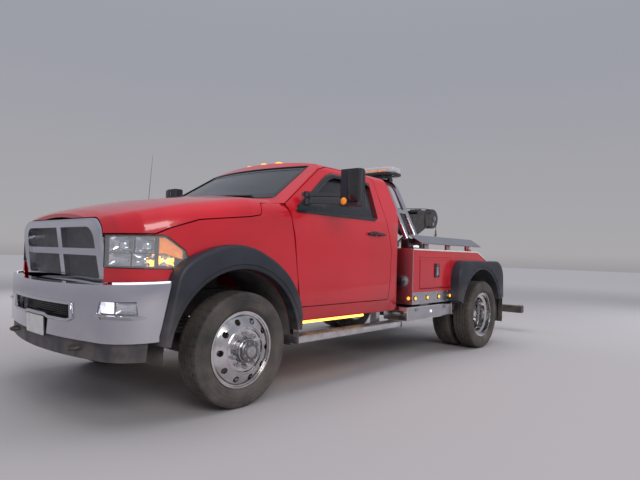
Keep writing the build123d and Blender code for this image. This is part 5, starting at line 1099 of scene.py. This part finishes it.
for s in (1, -1):
    head_bits.stud(B(*SHEAVE, s * 77), (0, s, 0), 28, 0.020, (0, 0.036), (0.007, 0.036), (0.009, 0.022),
                   (0.018, 0.020))
    head_bits.stud(B(1730, -55, s * 77), (0, s, 0), 24, 0.010, (0, 0.026), (0.006, 0.026), (0.008, 0.012))
    grooves.lathe([(-0.020, 0.118), (-0.020, 0.143), (-0.015, 0.146), (-0.008, 0.134), (0.0, 0.130), (0.008, 0.134),
                   (0.015, 0.146), (0.020, 0.143), (0.020, 0.118)], B(*SHEAVE, s * 30), (0, 1, 0), 56)
    for u, w in ((480, 150), (1180, 60)):
        corners = ((u - w, -60), (u + w, -60), (u + w, 60), (u - w, 60))
        side_plates.add([B(a, v, s * y) for y in (95, 99) for a, v in corners],
                        [(0, 1, 2, 3), (4, 5, 6, 7), (0, 1, 5, 4), (1, 2, 6, 5), (2, 3, 7, 6), (3, 0, 4, 7)])
    side_plates.stud(B(1150, -175, s * 95), (0, s, 0), 24, 0.016, (0, 0.030), (0.007, 0.029), (0.009, 0.018),
                     (0.016, 0.017))
    for u in (1270, 1365, 1460):
        side_plates.stud(B(u, 100, s * 95), (0, s, 0), 6, 0.008, (0, 0.012), (0.006, 0.011))
head_bits.out("boom_head_pins", "bolt", 30, "boom_extension")
grooves.out("boom_sheave_rims", "boomblack", 35, "boom_extension")
side_plates.out("boom_side_plates", "boomblack", 30, "boom")
collar = Mesh()
for u0, u1, g in ((1462, 1500, 8), (1440, 1452, 4)):
    e = 95 + g
    for lo, hi, y0, y1 in ((95, e, -e, e), (-e, -95, -e, e), (-95, 95, 95, e), (-95, 95, -e, -95)):
        collar.add([B(u, v, y) for u in (u0, u1) for v in (lo, hi) for y in (y0, y1)], HEX)
collar.out("boom_mouth_collar", "boomblack", False, "boom")
COIL_STEPS = 22 * 20     # turns by points a turn
pts = []
for k in range(COIL_STEPS + 1):
    t = 2 * pi * k / 20
    pts.append((back(2460) + 0.089 * cos(t), lerp(-0.132, 0.132, k / COIL_STEPS), 1.010 + 0.089 * sin(t)))
Mesh().tube(pts, 0.0064, 7).out("winch_coil", "rope", 60, "winch")
roller = Mesh()
for s in (1, -1):
    roller.prism([(back(2622), 1.552), (back(2680), 1.552), (back(2672), 1.66), (back(2632), 1.66)], 1, s * 0.104,
                 s * 0.118, 0.002)
roller.rod(P(2652, -104, 1632), P(2652, 104, 1632), 0.024, 24).out("mast_rope_roller", "boomblack", 40)


def cord_piece(name, points, diameter, mat, body):
    """A round cord: one open NURBS spline with these control points."""
    cu = bpy.data.curves.new(name, "CURVE")
    cu.dimensions = "3D"
    sp = cu.splines.new("NURBS")
    sp.points.add(len(points) - 1)
    for q, place in zip(sp.points, points):
        q.co = (*place, 1)
    sp.order_u = 3
    sp.use_endpoint_u = True
    cu.resolution_u = 10
    cu.bevel_depth = diameter / 2
    cu.bevel_resolution = 3
    cu.use_fill_caps = True
    cu.materials.append(M[mat])
    ob = bpy.data.objects.new(name, cu)
    scn.collection.objects.link(ob)
    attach(ob, body)
    return ob


ROPE, HOSE = 0.012, 0.018
path = [P(2386, 30, 1062), P(2500, 26, 1340), P(2604, 23, 1600), P(2626, 23, 1668), P(2676, 23, 1663)]
cord_piece("rope_to_mast", path, ROPE, "rope", "chassis")
path = [B(-20, 168, 8), B(600, 175, 8), B(1340, 176, 8)]
cord_piece("rope_on_boom", path, ROPE, "rope", "boom")
path = [B(700, 176, 8), B(1340, 176, 10), B(1560, 175, 18), B(1740, 161, 29), B(1830, 156, 30), B(1889, 108, 30),
        B(1912, 30, 30)]
tip = Vector(path[-1])
path += [(tip - Vector((0, 0, drop)))[:] for drop in (0.10, 0.24)]
over_head = cord_piece("rope_over_head", path, ROPE, "rope", "boom_extension")
end = tip - Vector((0, 0, 0.20))
hook = Mesh().stud(end + Vector((0, 0, 0.01)), (0, 0, -1), 20, 0.085, (0.0, 0.012), (0.05, 0.014), (0.055, 0.020),
                   (0.075, 0.020), (0.08, 0.010))
c = end - Vector((0, 0, 0.125))
curve = [(c + Vector((0, 0, 0.052)))[:]] + [(c + Vector((0.042 * sin(radians(a)), 0, 0.042 * cos(radians(a)))))[:]
                                            for a in range(20, 291, 18)]
hook.tube(curve, [0.011] + [lerp(0.013, 0.0065, k / (len(curve) - 2)) for k in range(len(curve) - 1)], 12)
hook = hook.out("rope_hook", "iron", 60, "boom_extension")
for tag, y, dz in (("inner", 200, 0), ("outer", 222, 12)):
    path = [P(2460, y, 870), P(2580, y, 884 + dz), P(2760, y, 892 + dz), P(2900, y - 40, 903 + dz),
            P(3000, y - 90, 905 + dz), P(3060, 60, 925 + dz)]
    cord_piece("lift_hose_" + tag, path, HOSE, "hose", "chassis")
path = [P(2400, 300, 1010), P(2330, 330, 1016), P(2270, 365, 960), P(2290, 390, 884), P(2390, 370, 871),
        P(2480, 310, 871), P(2570, 225, 871)]
cord_piece("winch_hose", path, HOSE, "hose", "chassis")

# Wheel lift

lift_bits, cheeks, pads = Mesh(), Mesh(), Mesh()
for s in (1, -1):
    lift_bits.stud(P(4360, s * 118, 590), (0, s, 0), 28, 0.020, (0, 0.036), (0.007, 0.036), (0.009, 0.020),
                   (0.018, 0.019))
    cheeks.stud(P(4345, s * 85, 750), (0, s, 0), 24, 0.008, (0, 0.024), (0.006, 0.023))
    for d in (4480, 4560, 4620):
        cheeks.stud(P(d, s * 85, 345), (0, s, 0), 6, 0.008, (0, 0.012), (0.006, 0.011))
    for y in (130, 390, 650):
        pads.box(back(5379), back(5482), s * y / 1000, s * (y + 60) / 1000, 0.393, 0.400, 0.002)
lift_bits.out("lift_pivot_pins", "bolt", 30)
cheeks.out("lift_arm_bolts", "bolt", 30, "wheel_lift")
pads.out("crossbar_pads", "rubber", 40, "cross_bar")
for tag, s in SIDES:
    Mesh().stud(P(5511, s * 1000, 392.5), (0, 0, 1), 20, 0.012, (0, 0.019), (0.006, 0.018),
                (0.010, 0.010)).out("claw_pin_head_" + tag, "bolt", 40, "cross_bar")


# Cab inside

def cushion(name, centre, size, crown, lean_back, channels, counts=(22, 22, 8), power=6.0):
    """A crowned, closed pad: a rounded box with sewn channels across it, leant back about Y."""
    index, faces = {}, []
    for axis in range(3):
        a, c = [i for i in range(3) if i != axis]
        for sign in (-1, 1):
            for i in range(counts[a]):
                for j in range(counts[c]):
                    quad = []
                    for di, dj in ((0, 0), (1, 0), (1, 1), (0, 1)):
                        p = [0, 0, 0]
                        p[axis], p[a], p[c] = sign, -1 + 2 * (i + di) / counts[a], -1 + 2 * (j + dj) / counts[c]
                        quad.append(index.setdefault(tuple(round(v, 6) for v in p), len(index)))
                    faces.append(quad)
    out = []
    for x, y, z in index:
        norm = (abs(x) ** power + abs(y) ** power + abs(z) ** power) ** (1 / power)
        x, y, z = x / norm, y / norm, z / norm
        dip = sum(0.010 * pow(2.7183, -((x - c) / 0.035) ** 2) for c in channels)
        p = Vector((x * size[0] / 2, y * size[1] / 2 + crown[0] * (1 - x * x) * (1 - z * z) * y,
                    z * size[2] / 2 + crown[1] * (1 - x * x) * (1 - y * y) * z - dip * max(z, 0) ** 2))
        p.rotate(Matrix.Rotation(lean_back, 3, "Y"))
        out.append((p + Vector(centre))[:])
    ob = piece(name, out, faces, "fabric", "chassis", "all", ("bench_seat",) if name == "seat_cushion_left" else ())


for tag, y, w in (("left", 0.505, 0.53), ("right", -0.505, 0.53), ("middle", 0.0, 0.44)):
    cushion("seat_cushion_" + tag, (back(1470), y, 1.005), (0.47, w, 0.17), (0.006, 0.014), radians(4),
            (-0.45, 0.0, 0.45))
    cushion("seat_back_" + tag, (back(1800), y, 1.36), (0.52, w, 0.15), (0.006, 0.012), radians(-76),
            (-0.5, 0.0, 0.5))
bench = Mesh().bar(1250, 1690, -740, 740, 905, 935, 0.01)
for y in (-0.6, -0.2, 0.2, 0.6):
    bench.box(back(1650), back(1300), y - 0.02, y + 0.02, 0.83, 0.91, 0.004)
bench.out("seat_frame", "trim", 40)
pod, dials = Mesh(), Mesh()
POD = [(650, 1.415), (700, 1.470), (760, 1.462), (772, 1.405), (730, 1.34)]
CONSOLE = [(716, 1.405), (764, 1.395), (775, 1.26), (720, 1.20)]
VENT = [(712, 1.395), (752, 1.385), (768, 1.315), (735, 1.300)]
for outline, y0, y1, bevel in [(POD, 0.24, 0.60, 0.010), (CONSOLE, -0.16, 0.17, 0.010)] + [
        (VENT, y - 0.06, y + 0.06, 0.008) for y in (-0.80, -0.36, 0.205, 0.72)]:
    pod.prism([(back(d), z) for d, z in outline], 1, y0, y1, bevel)
pod.out("dash_pods", "trim", 40)
for y in (0.34, 0.50):
    dials.dome((back(771), y, 1.425), (-0.97, 0, 0.2), 32, 0.002, (0, 0.052), (0.003, 0.052), (0.004, 0.048),
               (0.002, 0.046))
dials.out("dash_dials", "blackgloss", 40)
wc = Vector(P(960, 420, 1330)) + Vector((-0.0112, 0, 0.0065))
wu = Vector((0, 1, 0))
wv = Vector((-0.86, 0, 0.5)).normalized().cross(wu)
Mesh().tube([(wc + (wu * cos(2 * pi * k / 48) + wv * sin(2 * pi * k / 48)) * 0.178)[:] for k in range(48)], 0.0165, 12,
            closed=True).out("steering_wheel_rim", "trim", 60)
liners = Mesh()
for s in (1, -1):
    for centre, r, start, sweep, widths in ((ARCH_D, 0.561, -4, 188, (0.55, 0.70, 0.985)),
                                            (REAR, 0.5575, 8, 164, (0.650, 0.850, 1.084))):
        turns = [radians(start + sweep * k / 24) for k in range(25)]
        liners.sheet([[(back(centre) + r * cos(t), s * y, TYRE_R + r * sin(t)) for y in widths] for t in turns])
thicken(liners.out("wheel_liners", "rubber", 50), 0.002, 0)

# Camera, floor and light

yaw, pitch, roll = radians(41.377), radians(1.591), radians(1.6186)
look = Vector((-cos(pitch) * cos(yaw), -cos(pitch) * sin(yaw), sin(pitch)))
side = look.cross(Vector((0, 0, 1))).normalized()
lift = side.cross(look)
right = side * cos(roll) + lift * sin(roll)
up = -side * sin(roll) + lift * cos(roll)
cam_data = bpy.data.cameras.new("camera")
cam_data.lens = 28.27
cam_data.sensor_width = 36
cam_data.sensor_fit = "HORIZONTAL"
cam = bpy.data.objects.new("camera", cam_data)
cam.matrix_world = Matrix.Translation((4.59, 3.775, 1.09)) @ Matrix((right, up, -look)).transposed().to_4x4()
scn.collection.objects.link(cam)
scn.camera = cam

floor_mesh = bpy.data.meshes.new("floor")
floor_mesh.from_pydata([(-60, -60, 0), (60, -60, 0), (60, 60, 0), (-60, 60, 0)], [], [(0, 1, 2, 3)])
floor = bpy.data.objects.new("floor", floor_mesh)
scn.collection.objects.link(floor)
floor_look = bpy.data.materials.new("floor_stone")
floor_look.use_nodes = True
floor_mesh.materials.append(floor_look)
fn, fl = floor_look.node_tree.nodes, floor_look.node_tree.links
surface = fn["Principled BSDF"]
set_inputs(surface, Roughness=0.9, **{"Base Color": (0.38, 0.36, 0.37, 1), "Emission Color": (0.88, 0.87, 0.92, 1)})
# The lamps don't reach the far floor, so it gives a little light of its own
reach = fn.new("ShaderNodeVectorMath")
reach.operation = "LENGTH"
fl.new(fn.new("ShaderNodeTexCoord").outputs["Object"], reach.inputs[0])
far = fn.new("ShaderNodeMapRange")
far.interpolation_type = "SMOOTHSTEP"
set_inputs(far, **{"From Min": 4.0, "From Max": 20.0, "To Min": 0.0, "To Max": 0.27})
fl.new(reach.outputs["Value"], far.inputs["Value"])
fl.new(far.outputs["Result"], surface.inputs["Emission Strength"])

world = bpy.data.worlds.new("studio")
scn.world = world
world.use_nodes = True
wn, wl = world.node_tree.nodes, world.node_tree.links
bg = wn["Background"]
tc = wn.new("ShaderNodeTexCoord")
sep = wn.new("ShaderNodeSeparateXYZ")
wl.new(tc.outputs["Generated"], sep.inputs[0])
sky = wn.new("ShaderNodeValToRGB")
el = sky.color_ramp.elements
el[0].position, el[0].color = 0.0, (0.46, 0.44, 0.44, 1)
el[1].position, el[1].color = 1.0, (0.80, 0.84, 0.95, 1)
for pos, col in ((0.47, (0.42, 0.40, 0.41, 1)), (0.505, (0.80, 0.78, 0.80, 1)), (0.68, (0.66, 0.68, 0.78, 1))):
    el.new(pos).color = col
height = wn.new("ShaderNodeMapRange")
set_inputs(height, **{"From Min": -1.0, "From Max": 1.0})
wl.new(sep.outputs["Z"], height.inputs["Value"])
wl.new(height.outputs["Result"], sky.inputs["Fac"])
wl.new(sky.outputs["Color"], bg.inputs["Color"])
bg.inputs["Strength"].default_value = 0.5


def area(name, place, target, size, size_y, power, color, glossy=False):
    d = bpy.data.lights.new(name, "AREA")
    d.energy, d.color, d.shape, d.size, d.size_y = power, color, "RECTANGLE", size, size_y
    o = bpy.data.objects.new(name, d)
    o.location = place
    o.rotation_euler = (Vector(target) - Vector(place)).to_track_quat("-Z", "Y").to_euler()
    scn.collection.objects.link(o)
    o.visible_glossy = glossy


area("key", (5.5, 8.5, 6.0), (0, 0, 0.8), 6.0, 4.0, 470, (1.0, 0.97, 0.94), glossy=True)
area("fill", (-7.5, 5.0, 4.5), (-0.5, 0, 0.8), 6.0, 4.0, 330, (0.93, 0.95, 1.0))
area("top", (0, 0.5, 8.0), (0, 0, 0), 9.0, 6.0, 380, (1, 1, 1))
area("off_side", (1.0, -8.5, 5.0), (0, 0, 0.8), 7.0, 4.0, 300, (0.97, 0.97, 1.0))

scn.view_settings.view_transform = "Standard"
